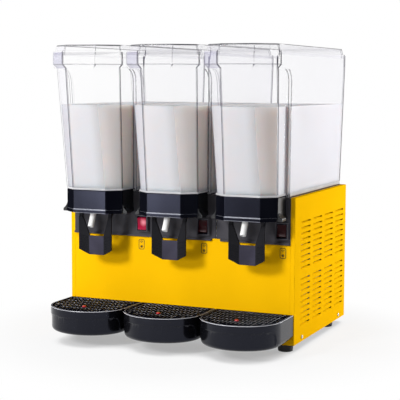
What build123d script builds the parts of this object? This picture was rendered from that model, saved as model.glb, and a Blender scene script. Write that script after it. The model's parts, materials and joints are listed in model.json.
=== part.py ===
from build123d import *

import math
import os

os.makedirs("parts", exist_ok=True)

# A counter-top cold drink dispenser with three bowls side by side, in millimetres.
# +X is right, +Y is back and +Z is up. The front faces -Y, and the origin is on the floor, under the
# middle of the whole machine. A "reach" is how far a thing stands forward of the casing's front, and a
# "drop" is how far it lies below the deck that the bowls stand on.

# Stations, one for each bowl
STATION_PITCH = 181.5
STATIONS = {"left": -STATION_PITCH, "middle": 0.0, "right": STATION_PITCH}

# Clearances
SEAM = 0.3
RUNNING = 0.05
LIFT = 0.3

# Casing of folded sheet steel
CASE_DEPTH = 375.0
CASE_HEIGHT = 319.0
SHEET = 1.2
SIDE_FLANGE = 10.0
PAN_EDGE = 26.0
PANEL_RETURN = 12.0
DECK_FLANGE = 14.0

# Rubber feet, each with a plug through the base pan
FOOT_HEIGHT = 16.0
FOOT_DIAMETER = 35.0
FOOT_TAPER = 1.5
FOOT_PLUG_DIAMETER = 8.0
FOOT_PLUG_LENGTH = 6.0
FOOT_INSET_SIDE = 25.0
FOOT_INSET_FRONT = 18.0
FOOT_INSET_REAR = 70.0

# Louvre slots, two banks of rows on each side panel and one on the rear panel
LOUVRE_LENGTH = 64.0
LOUVRE_HEIGHT = 4.0
LOUVRE_ROW_PITCH = 12.45
LOUVRE_COLUMNS = 4
LOUVRE_BANK_ROWS = 9
LOUVRE_FRONT_MARGIN = 41.0
LOUVRE_REAR_MARGIN = 21.0
LOUVRE_TOP_MARGIN = 57.0

# Pan-head panel screws
SCREW_DIAMETER = 4.0
SCREW_LENGTH = 8.0
SCREW_HEAD_DIAMETER = 8.0
SCREW_HEAD_HEIGHT = 2.2
SCREW_RECESS = 1.0
SCREW_RISE = 10.0
SIDE_SCREW_INSET = 52.0
REAR_SCREW_INSET = 40.0

# Black fascia in two pieces, with the front panel's tab over their joint
FASCIA_HEIGHT = 102.0
FASCIA_THICKNESS = 3.0
FASCIA_PROUD = 1.5
LEDGE_HEIGHT = 5.0
LEDGE_PROUD = 4.0
TAB_WIDTH = 20.5
TAB_HEIGHT = 5.0

# Rocker switches in raised bezels
SWITCH_DROP = 70.3
SWITCH_MIDWAY_SHIFT = 4.5
SWITCH_SEAM_INSET = 28.0
SWITCH_EDGE_INSET = 27.0
SWITCH_DEPTH = 34.0
SWITCH_WALL = 1.2
SWITCH_RECESS = 1.0
BEZEL_WALL = 2.2
BEZEL_PROUD = 9.0
ROCKER_WIDTH = 20.0
ROCKER_HEIGHT = 26.0
ROCKER_FACE = 9.5
ROCKER_DISH = 1.5
ROCKER_BACK = 1.0
ROCKER_HUB_DIAMETER = 8.0
ROCKER_PIN_DIAMETER = 3.0
ROCKER_PIVOT_DEPTH = 7.5
ROCKER_SWING = 1.8
ROCKER_TILT = 9.0
ROCKER_CAVITY = 14.0

# Clear bowl: a tapered box with a three-sided nose, which is narrower by a step, and a rim band
BOWL_GAP = 8.9
BOWL_HEIGHT = 308.2
BOWL_WALL = 3.0
BOWL_FLOOR = 3.5
BOWL_FLOOR_RISE = 5.6
BOWL_REAR_INSET = 5.0
BODY_DRAFT = 8.8
BODY_LEAN = 17.0
ARCH_RADIUS = 31.0
FACET_SLOPE = 0.85
EDGE_ROUND = 5.0
EDGE_ROUND_LEAST = 1.5
NOSE_CORNERS = 4
NOSE_STEP = 7.4
NOSE_FOOT_REACH = 79.0
NOSE_FOOT_FACET = 25.0
NOSE_HEAD_REACH = 119.0
NOSE_HEAD_FACET = 37.0
RIM_REACH = 123.6
RIM_FACET = 38.6
RIM_BAND = 26.0
RIM_SHOULDER = 8.4
SPIGOT_BORE = 5.0
SPIGOT_LENGTH = 12.0
SPIGOT_BOSS_DIAMETER = 14.0

# Clear lid, an upturned tray with a flange on the rim and a skirt inside it
LID_HEIGHT = 16.2
LID_WALL = 2.5
LID_FLANGE = 2.5
LID_FLANGE_INSET = 1.5
LID_INSET = 4.5
LID_DRAFT = 3.4
LID_SKIRT = 6.0

# Black bowl seat, which is also the tap housing
SEAT_HEIGHT = 45.0
SEAT_WALL = 3.0
SEAT_TOP = 4.0
SEAT_LIP_HEIGHT = 8.0
SEAT_LIP_PROUD = 1.5
WING_REACH = 10.0
WING_HEIGHT = 22.0
WING_FOOT = 6.0
WING_LENGTH = 24.0
EAR_WIDTH = 6.0
EAR_GAP = 0.5
EAR_LENGTH = 16.0
ANVIL_WIDTH = 16.0
ANVIL_DEPTH = 10.0
ANVIL_HEIGHT = 11.0

# Tap lever: a three-sided push pad on two arms, which turn on a pin in the seat's ears
LEVER_PIVOT_REACH = 36.0
LEVER_PIVOT_DROP = 30.0
LEVER_PIN_DIAMETER = 6.0
LEVER_EYE_DIAMETER = 13.0
LEVER_HALF_WIDTH = 41.0
LEVER_ARM_WIDTH = 9.0
LEVER_SHEET = 4.0
LEVER_FACE_HALF = 18.3
LEVER_FACE_REACH = 47.0
LEVER_WING_FORWARD = 7.0
LEVER_PAD_BOTTOM = 112.3
LEVER_WING_BOTTOM = 100.3
LEVER_V_BOTTOM = 69.3
LEVER_V_HALF = 17.0
LEVER_PAD_TOP = 25.0
LEVER_BAR_DROP = 18.0
LEVER_BAR_SIZE = 6.0
SPRING_WIDTH = 14.0
SPRING_THICKNESS = 0.8
SPRING_PLATE = 20.0

# Silicone spout, hung in the seat by its flange and bent forward
SPOUT_DIAMETER = 13.0
SPOUT_BORE = 9.0
SPOUT_REACH = 52.0
SPOUT_BEND_DROP = 30.3
SPOUT_BEND_RADIUS = 20.0
SPOUT_TILT = 24.8
SPOUT_TIP_DROP = 75.8
SPOUT_FLANGE_DIAMETER = 18.6
SPOUT_FLANGE = 2.0

# Evaporator drum in the bowl's floor, with its gasket, impeller and magnetic drive
DRUM_FROM_FRONT = 190.0
DRUM_DIAMETER = 100.0
DRUM_HEIGHT = 66.0
DRUM_WALL = 1.5
DRUM_FLANGE = 2.0
GASKET_WIDTH = 9.0
GASKET_HEIGHT = 8.0
AXLE_DIAMETER = 8.0
AXLE_LENGTH = 18.0
AXLE_SHOULDER_DIAMETER = 14.0
AXLE_SHOULDER = 1.5
IMPELLER_DIAMETER = 88.0
IMPELLER_HUB_DIAMETER = 26.0
IMPELLER_HEIGHT = 14.0
IMPELLER_BLADE = 4.0
IMPELLER_BLADES = 4
MAGNET_DIAMETER = 78.0
MAGNET_THICKNESS = 10.0
MAGNET_GAP = 4.0
SHAFT_DIAMETER = 8.0
SHAFT_ENGAGE = 30.0
MOTOR_DIAMETER = 62.0
MOTOR_LENGTH = 64.0
DECK_SHAFT_HOLE = 24.0

# Drip tray with a D-shaped plan, hung on slanted pegs through the front panel
TRAY_GAP = 3.0
TRAY_REACH = 158.0
TRAY_SIDE = 77.0
TRAY_BOTTOM = 28.5
TRAY_HEIGHT = 54.5
TRAY_WALL = 3.0
TRAY_FLOOR = 3.0
TRAY_LEDGE = 3.0
TRAY_BAND = 17.0
TRAY_BAND_PROUD = 2.0
TRAY_FLANK = 99.0
TRAY_CORNER = 16.0
TRAY_EDGE_RADIUS = 9.0
PEG_OFFSET = 50.0
PEG_WIDTH = 14.0
PEG_THICKNESS = 5.0
PEG_LENGTH = 17.0
PEG_DROP = 18.0

# Drip grid and its red float
GRID_THICKNESS = 4.0
GRID_FRAME = 5.0
GRID_PITCH = 9.1
GRID_SLOT = 4.0
GRID_RIB_PITCH = 24.0
GRID_RIB = 3.0
GRID_COLUMNS = 19
GRID_ROWS = 7
FLOAT_REACH = 104.0
FLOAT_TIP_DIAMETER = 9.6
FLOAT_PROUD = 3.0
FLOAT_BODY_DIAMETER = 26.0
FLOAT_BODY_HEIGHT = 12.0
FLOAT_COLLAR = 4.0

# Cooling machinery on the base pan
COMPRESSOR_X = -120.0
COMPRESSOR_DIAMETER = 150.0
COMPRESSOR_HEIGHT = 165.0
COMPRESSOR_DOME = 30.0
COMPRESSOR_STAND = 12.0
COMPRESSOR_PLATE = 3.0
COMPRESSOR_PORT_OFFSET = 40.0
COMPRESSOR_PORT_HEIGHT = 10.0
CONDENSER_GAP = 12.0
CONDENSER_WIDTH = 50.0
CONDENSER_LENGTH = 220.0
CONDENSER_HEIGHT = 190.0
CONDENSER_FINS = 16
CONDENSER_FIN = 1.5
CONDENSER_PLATE = 3.0
CONDENSER_TUBE = 10.0
CONDENSER_ROWS = 5
CONDENSER_PORT_HEIGHT = 12.0
FAN_GAP = 20.0
FAN_DIAMETER = 160.0
FAN_HUB_DIAMETER = 44.0
FAN_HUB_LENGTH = 22.0
FAN_BLADES = 5
FAN_BLADE = 2.5
FAN_BLADE_CHORD = 44.0
FAN_BLADE_PITCH = 28.0
FAN_SHAFT_DIAMETER = 6.0
FAN_MOTOR_DIAMETER = 60.0
FAN_MOTOR_LENGTH = 50.0
FAN_RING_DEPTH = 40.0
FAN_RING_WALL = 3.0
FAN_TIP_GAP = 4.0
FAN_FOOT = 60.0
FAN_ARM = 6.0
FAN_ARM_SETBACK = 6.0
PIPE_DIAMETER = 8.0
PIPE_OFFSET = 40.0
PIPE_HEADER_RISE = 13.0
PIPE_RISE = 8.0
DISCHARGE_RISE = 19.6
DISCHARGE_BEND = 12.0
DRIER_DIAMETER = 20.0
DRIER_LENGTH = 80.0
THERMOSTAT_SIZE = 36.0
THERMOSTAT_FROM_FRONT = 60.0

# Power inlet in the rear panel
INLET_WIDTH = 28.0
INLET_HEIGHT = 20.0
INLET_DEPTH = 26.0
INLET_WALL = 2.0
INLET_FLANGE = 2.5
INLET_FLANGE_MARGIN = 6.0
INLET_PIN_LENGTH = 16.0
INLET_PIN_WIDTH = 2.0
INLET_PIN_HEIGHT = 6.0
INLET_PIN_PITCH = 7.0
INLET_EDGE_INSET = 70.0
INLET_RISE = 50.0

# Places worked out from the sizes above
CASE_WIDTH = len(STATIONS) * STATION_PITCH
CASE_HALF = CASE_WIDTH / 2
INSIDE_HALF = CASE_HALF - SHEET
FRONT = (TRAY_REACH - CASE_DEPTH - INLET_FLANGE) / 2
REAR = FRONT + CASE_DEPTH
CASE_BOTTOM = FOOT_HEIGHT
CASE_TOP = CASE_BOTTOM + CASE_HEIGHT
PAN_TOP = CASE_BOTTOM + SHEET
DECK_TOP = CASE_TOP - SHEET
DECK_UNDER = DECK_TOP - SHEET
FASCIA_BOTTOM = CASE_TOP - FASCIA_HEIGHT
FASCIA_FACE = FRONT - FASCIA_PROUD
FASCIA_BACK = FASCIA_FACE + FASCIA_THICKNESS
FASCIA_HALF = CASE_HALF - SIDE_FLANGE - SEAM
FASCIA_JOINT = STATION_PITCH / 2
SWITCH_Z = DECK_TOP - SWITCH_DROP
SWITCH_X = {
    "left": SWITCH_MIDWAY_SHIFT - FASCIA_JOINT,
    "middle": FASCIA_JOINT - SWITCH_SEAM_INSET,
    "right": CASE_HALF - SWITCH_EDGE_INSET,
}
SWITCH_WIDTH = ROCKER_WIDTH + 2 * (LIFT + SWITCH_WALL)
SWITCH_HEIGHT = ROCKER_HEIGHT + 2 * (ROCKER_SWING + SWITCH_WALL)
SWITCH_FACE = FASCIA_FACE - BEZEL_PROUD + SWITCH_RECESS
ROCKER_Y = SWITCH_FACE + ROCKER_PIVOT_DEPTH
RIM_HALF = (STATION_PITCH - BOWL_GAP) / 2
RIM_TOP = DECK_TOP + BOWL_HEIGHT
RIM_BOTTOM = RIM_TOP - RIM_BAND
SHOULDER_BOTTOM = RIM_BOTTOM - RIM_SHOULDER
BODY_FOOT_HALF = RIM_HALF - BODY_DRAFT
NOSE_FOOT_HALF = BODY_FOOT_HALF - NOSE_STEP
NOSE_HEAD_HALF = RIM_HALF - BODY_DRAFT * RIM_SHOULDER / (RIM_BOTTOM - DECK_TOP) - NOSE_STEP
BOWL_REAR = REAR - BOWL_REAR_INSET
BOWL_UNDER = DECK_TOP + BOWL_FLOOR_RISE
LID_TOP = RIM_TOP + LID_HEIGHT
SEAT_BOTTOM = DECK_TOP - SEAT_HEIGHT
PIVOT_Y = FRONT - LEVER_PIVOT_REACH
PIVOT_Z = DECK_TOP - LEVER_PIVOT_DROP
EAR_INSIDE = LEVER_HALF_WIDTH + EAR_GAP
SPOUT_Y = FRONT - SPOUT_REACH
SPOUT_BEND_Z = DECK_TOP - SPOUT_BEND_DROP
SPOUT_TIP_Z = DECK_TOP - SPOUT_TIP_DROP
SPOUT_TIP_Y = SPOUT_Y - (SPOUT_BEND_Z - SPOUT_TIP_Z) * math.tan(math.radians(SPOUT_TILT))
DRUM_Y = FRONT + DRUM_FROM_FRONT
DRUM_TOP = DECK_TOP + DRUM_HEIGHT
GASKET_DIAMETER = DRUM_DIAMETER + 2 * GASKET_WIDTH
IMPELLER_BOTTOM = DRUM_TOP + AXLE_SHOULDER + LIFT
MAGNET_TOP = DRUM_TOP - DRUM_WALL - MAGNET_GAP
MAGNET_BOTTOM = MAGNET_TOP - MAGNET_THICKNESS
TRAY_HALF = (STATION_PITCH - TRAY_GAP) / 2
TRAY_TOP = TRAY_BOTTOM + TRAY_HEIGHT
GRID_BOTTOM = TRAY_TOP - GRID_THICKNESS
PEG_Z = TRAY_TOP - PEG_DROP
FLOAT_Y = FRONT - FLOAT_REACH
COMPRESSOR_TOP = PAN_TOP + COMPRESSOR_STAND + COMPRESSOR_PLATE + COMPRESSOR_HEIGHT
COMPRESSOR_PORT_TOP = COMPRESSOR_TOP + COMPRESSOR_PORT_HEIGHT
CONDENSER_X = INSIDE_HALF - CONDENSER_GAP - CONDENSER_WIDTH / 2
CONDENSER_FOOT = FOOT_HEIGHT + FOOT_PLUG_LENGTH + SEAM
CONDENSER_TOP = PAN_TOP + CONDENSER_HEIGHT
CONDENSER_PORT_TOP = CONDENSER_TOP + CONDENSER_PORT_HEIGHT
FAN_Z = PAN_TOP + CONDENSER_HEIGHT / 2
FAN_RING_OUTSIDE = FAN_DIAMETER / 2 + FAN_TIP_GAP + FAN_RING_WALL
FAN_X = CONDENSER_X - CONDENSER_WIDTH / 2 - FAN_GAP
FAN_ARM_X = FAN_X - FAN_RING_DEPTH - FAN_ARM_SETBACK
DISCHARGE_Z = CONDENSER_PORT_TOP + DISCHARGE_RISE
HEADER_Z = DISCHARGE_Z + PIPE_HEADER_RISE
LIQUID_Y = DRUM_Y - PIPE_OFFSET
SUCTION_Y = DRUM_Y + PIPE_OFFSET
COMPRESSOR_Y = SUCTION_Y
INLET_X = -CASE_HALF + INLET_EDGE_INSET
INLET_Z = CASE_BOTTOM + INLET_RISE
LOUVRE_SPAN = CASE_DEPTH - LOUVRE_FRONT_MARGIN - LOUVRE_REAR_MARGIN
LOUVRE_COLUMN_PITCH = (LOUVRE_SPAN - LOUVRE_LENGTH) / (LOUVRE_COLUMNS - 1)
LOUVRE_Y = FRONT + LOUVRE_FRONT_MARGIN + LOUVRE_SPAN / 2
LOUVRE_TOP = CASE_TOP - LOUVRE_TOP_MARGIN
LOUVRE_BANK = (LOUVRE_BANK_ROWS - 1) * LOUVRE_ROW_PITCH
LOUVRE_UPPER_Z = LOUVRE_TOP - LOUVRE_BANK / 2
LOUVRE_LOWER_Z = LOUVRE_UPPER_Z - LOUVRE_BANK - 2 * LOUVRE_ROW_PITCH
LOUVRE_GRID = (LOUVRE_COLUMN_PITCH, LOUVRE_ROW_PITCH, LOUVRE_COLUMNS, LOUVRE_BANK_ROWS)
SCREW_HOLE = SCREW_DIAMETER + 2 * RUNNING
SCREW_Z = CASE_BOTTOM + SCREW_RISE
SIDE_SCREW_Y = (FRONT + SIDE_SCREW_INSET, REAR - SIDE_SCREW_INSET)
REAR_SCREW_X = (-CASE_HALF + REAR_SCREW_INSET, CASE_HALF - REAR_SCREW_INSET)
FOOT_SPOTS = [
    (side * (CASE_HALF - FOOT_INSET_SIDE), y)
    for side in (-1, 1)
    for y in (FRONT + FOOT_INSET_FRONT, REAR - FOOT_INSET_REAR)
]
FLOOR_UP = (Align.CENTER, Align.CENTER, Align.MIN)
BACK_OF = (Align.CENTER, Align.MIN, Align.CENTER)
FRONT_OF = (Align.CENTER, Align.MAX, Align.CENTER)


def block(low, high, mode=Mode.ADD):
    """A box from its lowest to its highest corner, in the part that is being built."""
    with Locations(low):
        Box(*(b - a for a, b in zip(low, high)), align=(Align.MIN, Align.MIN, Align.MIN), mode=mode)


def rod(start, direction, diameter, length, mode=Mode.ADD):
    """A round bar from a point along a direction, in the part that is being built."""
    with Locations(Plane(start, z_dir=direction)):
        Cylinder(diameter / 2, length, align=FLOOR_UP, mode=mode)


def save(part, name):
    """Label a finished piece and write it."""
    part.label = name
    export_step(part, f"parts/{name}.step")


def save_stations(part, name):
    """Write a copy of the middle station's piece for every station."""
    for side, x in STATIONS.items():
        save(part.moved(Location((x, 0, 0))), f"{name}_{side}")


# Base pan, open at the top
with BuildPart() as base_pan:
    block((-INSIDE_HALF, FRONT + SHEET, CASE_BOTTOM), (INSIDE_HALF, REAR - SHEET, CASE_BOTTOM + PAN_EDGE))
    block(
        (-INSIDE_HALF + SHEET, FRONT + 2 * SHEET, PAN_TOP),
        (INSIDE_HALF - SHEET, REAR - 2 * SHEET, CASE_BOTTOM + PAN_EDGE),
        mode=Mode.SUBTRACT,
    )
    for x, y in FOOT_SPOTS:
        rod((x, y, CASE_BOTTOM), (0, 0, 1), FOOT_PLUG_DIAMETER + 2 * RUNNING, SHEET, mode=Mode.SUBTRACT)
    for y in SIDE_SCREW_Y:
        rod((-INSIDE_HALF, y, SCREW_Z), (1, 0, 0), SCREW_HOLE, 2 * INSIDE_HALF, mode=Mode.SUBTRACT)
    for x in REAR_SCREW_X:
        rod((x, REAR, SCREW_Z), (0, -1, 0), SCREW_HOLE, 2 * SHEET, mode=Mode.SUBTRACT)
save(base_pan.part, "base_pan")

# Side panels, each with a front and a top flange
for side, sign in (("left", -1), ("right", 1)):
    with BuildPart() as side_panel:
        outside, inside, flange = (sign * x for x in (CASE_HALF, INSIDE_HALF, CASE_HALF - SIDE_FLANGE))
        sheet_low, sheet_high = sorted((outside, inside))
        flange_low, flange_high = sorted((outside, flange))
        block((sheet_low, FRONT, CASE_BOTTOM), (sheet_high, REAR, CASE_TOP))
        block((flange_low, FRONT, CASE_BOTTOM), (flange_high, FRONT + SHEET, CASE_TOP))
        block((flange_low, FRONT, DECK_TOP), (flange_high, REAR - SHEET, CASE_TOP))
        with BuildSketch(Plane.YZ.offset(sheet_low)):
            for z in (LOUVRE_UPPER_Z, LOUVRE_LOWER_Z):
                with Locations((LOUVRE_Y, z)):
                    with GridLocations(*LOUVRE_GRID):
                        SlotOverall(LOUVRE_LENGTH, LOUVRE_HEIGHT)
            with Locations(*((y, SCREW_Z) for y in SIDE_SCREW_Y)):
                Circle(SCREW_HOLE / 2)
        extrude(amount=SHEET, mode=Mode.SUBTRACT)
    save(side_panel.part, f"side_panel_{side}")

# Front panel, with its tab, a return behind the fascia and a pair of peg slots at each station
with BuildPart() as front_panel:
    block((-FASCIA_HALF, FRONT, CASE_BOTTOM), (FASCIA_HALF, FRONT + SHEET, FASCIA_BOTTOM))
    block((-FASCIA_HALF, FRONT, FASCIA_BOTTOM - SHEET), (FASCIA_HALF, FRONT + PANEL_RETURN, FASCIA_BOTTOM))
    block(
        (FASCIA_JOINT - TAB_WIDTH / 2, FRONT, FASCIA_BOTTOM),
        (FASCIA_JOINT + TAB_WIDTH / 2, FRONT + SHEET, FASCIA_BOTTOM + TAB_HEIGHT),
    )
    peg_slot = PEG_THICKNESS * math.sqrt(2) + SHEET + 2 * LIFT
    for station in STATIONS.values():
        for x in (station - PEG_OFFSET, station + PEG_OFFSET):
            with Locations((x, FRONT + SHEET / 2, PEG_Z - SHEET / 2)):
                Box(PEG_WIDTH + 2 * LIFT, SHEET, peg_slot, mode=Mode.SUBTRACT)
save(front_panel.part, "front_panel")

# Rear panel, with air slots and the power inlet's window
with BuildPart() as rear_panel:
    block((-INSIDE_HALF, REAR - SHEET, CASE_BOTTOM), (INSIDE_HALF, REAR, CASE_TOP))
    with BuildSketch(Plane.XZ.offset(-REAR)):
        with Locations((0, LOUVRE_UPPER_Z)):
            with GridLocations(*LOUVRE_GRID):
                SlotOverall(LOUVRE_LENGTH, LOUVRE_HEIGHT)
        with Locations(*((x, SCREW_Z) for x in REAR_SCREW_X)):
            Circle(SCREW_HOLE / 2)
        with Locations((INLET_X, INLET_Z)):
            Rectangle(INLET_WIDTH + 2 * SEAM, INLET_HEIGHT + 2 * SEAM)
    extrude(amount=SHEET, mode=Mode.SUBTRACT)
save(rear_panel.part, "rear_panel")

# Top deck, tucked under the side panels' flanges, with holes for each station's shaft and pipes
with BuildPart() as top_deck:
    block((-INSIDE_HALF, FASCIA_BACK, DECK_UNDER), (INSIDE_HALF, REAR - SHEET, DECK_TOP))
    block((-FASCIA_HALF, FASCIA_BACK, DECK_TOP - DECK_FLANGE), (FASCIA_HALF, FASCIA_BACK + SHEET, DECK_TOP))
    for x in STATIONS.values():
        rod((x, DRUM_Y, DECK_UNDER), (0, 0, 1), DECK_SHAFT_HOLE, SHEET, mode=Mode.SUBTRACT)
        for y in (LIQUID_Y, SUCTION_Y):
            rod((x, y, DECK_UNDER), (0, 0, 1), PIPE_DIAMETER + 2 * SEAM, SHEET, mode=Mode.SUBTRACT)
save(top_deck.part, "top_deck")

# Fascia pieces, each with a bottom ledge, raised switch bezels and half of the notch for the tab
fascia_spans = {
    "double": (-FASCIA_HALF, FASCIA_JOINT - SEAM, ("left", "middle")),
    "single": (FASCIA_JOINT + SEAM, FASCIA_HALF, ("right",)),
}
for name, (x_low, x_high, switches) in fascia_spans.items():
    with BuildPart() as fascia:
        block((x_low, FASCIA_FACE, FASCIA_BOTTOM), (x_high, FASCIA_BACK, DECK_TOP))
        ledge_face = FASCIA_FACE - LEDGE_PROUD
        block((x_low, ledge_face, FASCIA_BOTTOM), (x_high, FASCIA_FACE, FASCIA_BOTTOM + LEDGE_HEIGHT))
        block(
            (FASCIA_JOINT - TAB_WIDTH / 2 - SEAM, ledge_face, FASCIA_BOTTOM),
            (FASCIA_JOINT + TAB_WIDTH / 2 + SEAM, FASCIA_BACK, FASCIA_BOTTOM + TAB_HEIGHT + SEAM),
            mode=Mode.SUBTRACT,
        )
        with BuildSketch(Plane.XZ.offset(-FASCIA_FACE)):
            with Locations(*((SWITCH_X[switch], SWITCH_Z) for switch in switches)):
                RectangleRounded(
                    SWITCH_WIDTH + 2 * (SEAM + BEZEL_WALL),
                    SWITCH_HEIGHT + 2 * (SEAM + BEZEL_WALL),
                    BEZEL_WALL,
                )
        extrude(amount=BEZEL_PROUD)
        with Locations(*((SWITCH_X[switch], FASCIA_FACE, SWITCH_Z) for switch in switches)):
            Box(
                SWITCH_WIDTH + 2 * SEAM,
                2 * (BEZEL_PROUD + FASCIA_THICKNESS),
                SWITCH_HEIGHT + 2 * SEAM,
                mode=Mode.SUBTRACT,
            )
    save(fascia.part, f"fascia_{name}")

# Switch bodies, open at the front, each with a pin across it
with BuildPart() as switch_bodies:
    for x in SWITCH_X.values():
        with Locations((x, SWITCH_FACE, SWITCH_Z)):
            Box(SWITCH_WIDTH, SWITCH_DEPTH, SWITCH_HEIGHT, align=BACK_OF)
            Box(
                SWITCH_WIDTH - 2 * SWITCH_WALL,
                ROCKER_CAVITY,
                SWITCH_HEIGHT - 2 * SWITCH_WALL,
                align=BACK_OF,
                mode=Mode.SUBTRACT,
            )
        rod((x - SWITCH_WIDTH / 2, ROCKER_Y, SWITCH_Z), (1, 0, 0), ROCKER_PIN_DIAMETER, SWITCH_WIDTH)
save(switch_bodies.part, "switch_bodies")

# Rockers with a dished face; the left one is switched on and tips the other way
for side, x in SWITCH_X.items():
    tilt = math.radians(-ROCKER_TILT if side == "left" else ROCKER_TILT)
    rocker_plane = Plane(
        (x - ROCKER_WIDTH / 2, ROCKER_Y, SWITCH_Z),
        x_dir=(0, -math.cos(tilt), math.sin(tilt)),
        z_dir=(1, 0, 0),
    )
    with BuildPart() as rocker:
        with BuildSketch(rocker_plane):
            with BuildLine():
                Polyline(
                    (-ROCKER_BACK, -ROCKER_HEIGHT / 2),
                    (ROCKER_FACE, -ROCKER_HEIGHT / 2),
                    (ROCKER_FACE - ROCKER_DISH, 0),
                    (ROCKER_FACE, ROCKER_HEIGHT / 2),
                    (-ROCKER_BACK, ROCKER_HEIGHT / 2),
                    close=True,
                )
            make_face()
            Circle(ROCKER_HUB_DIAMETER / 2)
            Circle(ROCKER_PIN_DIAMETER / 2 + RUNNING, mode=Mode.SUBTRACT)
        extrude(amount=ROCKER_WIDTH)
    save(rocker.part, f"rocker_{side}")


def edge_round(grow):
    """Radius of a rounded edge whose outline is grown or shrunk by a margin."""
    return max(EDGE_ROUND + grow, EDGE_ROUND_LEAST)


def nose_plan(z, half, reach, facet, rear, grow=0.0):
    """Plan with a rounded three-sided nose at a height, grown or shrunk all round by an even margin."""
    nose_half = half - facet / FACET_SLOPE
    with BuildSketch(Plane.XY.offset(z)) as plan:
        with BuildLine():
            Polyline(
                (half, rear),
                (half, FRONT - reach + facet),
                (nose_half, FRONT - reach),
                (-nose_half, FRONT - reach),
                (-half, FRONT - reach + facet),
                (-half, rear),
                close=True,
            )
        make_face()
        if grow:
            offset(amount=grow, kind=Kind.INTERSECTION)
        fillet(plan.vertices().sort_by(Axis.Y)[:NOSE_CORNERS], radius=edge_round(grow))
    return plan.sketch


def rim_plan(z, grow=0.0):
    """Plan of the bowl's rim at a height, rounded at the back too."""
    with BuildSketch(Plane.XY.offset(z)) as plan:
        add(nose_plan(0, RIM_HALF, RIM_REACH, RIM_FACET, BOWL_REAR, grow))
        fillet(plan.vertices().group_by(Axis.Y)[-1], radius=edge_round(grow))
    return plan.sketch


def nose_foot_plan(z, rear, grow=0.0):
    """Plan of the nose's foot, which the bowl seat shares, at a height."""
    return nose_plan(z, NOSE_FOOT_HALF, NOSE_FOOT_REACH, NOSE_FOOT_FACET, rear, grow)


def bowl_form(grow=0.0):
    """Solid form of the bowl from the deck to the top of its rim, grown or shrunk by an even margin."""
    overlap = 2 * NOSE_STEP + BOWL_WALL
    body_front = FRONT - NOSE_HEAD_REACH + NOSE_HEAD_FACET
    with BuildPart() as form:
        for z, half in ((DECK_TOP, BODY_FOOT_HALF), (RIM_BOTTOM, RIM_HALF)):
            with BuildSketch(Plane.XY.offset(z)) as body_plan:
                length = BOWL_REAR - body_front + grow
                with Locations((0, BOWL_REAR + grow)):
                    Rectangle(2 * (half + grow), length, align=(Align.CENTER, Align.MAX))
                fillet(body_plan.vertices().group_by(Axis.Y)[-1], radius=edge_round(grow))
        loft(ruled=True)
        arch_foot = (FRONT - BODY_LEAN, SHOULDER_BOTTOM - ARCH_RADIUS)
        arch_head = (FRONT - BODY_LEAN - ARCH_RADIUS, SHOULDER_BOTTOM)
        with BuildSketch(Plane.YZ) as side_view:
            with BuildLine():
                Polyline(
                    (body_front - BODY_LEAN, SHOULDER_BOTTOM),
                    (body_front - BODY_LEAN, RIM_TOP),
                    (BOWL_REAR, RIM_TOP),
                    (BOWL_REAR, DECK_TOP - RIM_BAND),
                    (FRONT, DECK_TOP - RIM_BAND),
                    (FRONT, DECK_TOP),
                    arch_foot,
                )
                RadiusArc(arch_foot, arch_head, -ARCH_RADIUS)
                Line(arch_head, (body_front - BODY_LEAN, SHOULDER_BOTTOM))
            make_face()
            if grow:
                offset(amount=grow, kind=Kind.INTERSECTION)
        extrude(amount=RIM_HALF + abs(grow), both=True, mode=Mode.INTERSECT)
        nose_foot = nose_foot_plan(DECK_TOP, FRONT + overlap, grow)
        nose_head = nose_plan(
            SHOULDER_BOTTOM, NOSE_HEAD_HALF, NOSE_HEAD_REACH, NOSE_HEAD_FACET, FRONT + overlap, grow
        )
        loft([nose_foot, nose_head], ruled=True)
        rim_front = nose_plan(RIM_BOTTOM, RIM_HALF, RIM_REACH, RIM_FACET, FRONT + overlap, grow)
        loft([nose_head, rim_front], ruled=True)
        extrude(rim_plan(RIM_BOTTOM, grow), amount=RIM_BAND)
    return form.part


# Clear bowl: walls, a floor above its foot, a hole for the drum and a spigot over the spout
with BuildPart() as bowl_inside:
    add(bowl_form(-BOWL_WALL))
    split(bisect_by=Plane.XY.offset(BOWL_UNDER + BOWL_FLOOR), keep=Keep.TOP)
with BuildPart() as bowl_underside:
    add(bowl_form(-BOWL_WALL))
    split(bisect_by=Plane.XY.offset(BOWL_UNDER), keep=Keep.BOTTOM)
    extrude(nose_foot_plan(DECK_TOP, FASCIA_FACE + LIFT, BOWL_WALL), amount=BOWL_FLOOR_RISE)
with BuildPart() as bowl:
    add(bowl_form())
    add(bowl_inside.part, mode=Mode.SUBTRACT)
    add(bowl_underside.part, mode=Mode.SUBTRACT)
    rod((0, DRUM_Y, BOWL_UNDER), (0, 0, 1), GASKET_DIAMETER + 2 * LIFT, BOWL_FLOOR, mode=Mode.SUBTRACT)
    rod((0, SPOUT_Y, BOWL_UNDER), (0, 0, -1), SPIGOT_BOSS_DIAMETER, BOWL_FLOOR_RISE - LIFT)
    rod((0, SPOUT_Y, BOWL_UNDER), (0, 0, -1), SPOUT_BORE - 2 * LIFT, BOWL_FLOOR_RISE + SPIGOT_LENGTH)
    spigot_span = BOWL_FLOOR + BOWL_FLOOR_RISE + SPIGOT_LENGTH
    rod((0, SPOUT_Y, BOWL_UNDER + BOWL_FLOOR), (0, 0, -1), SPIGOT_BORE, spigot_span, mode=Mode.SUBTRACT)
save_stations(bowl.part, "bowl")

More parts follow.
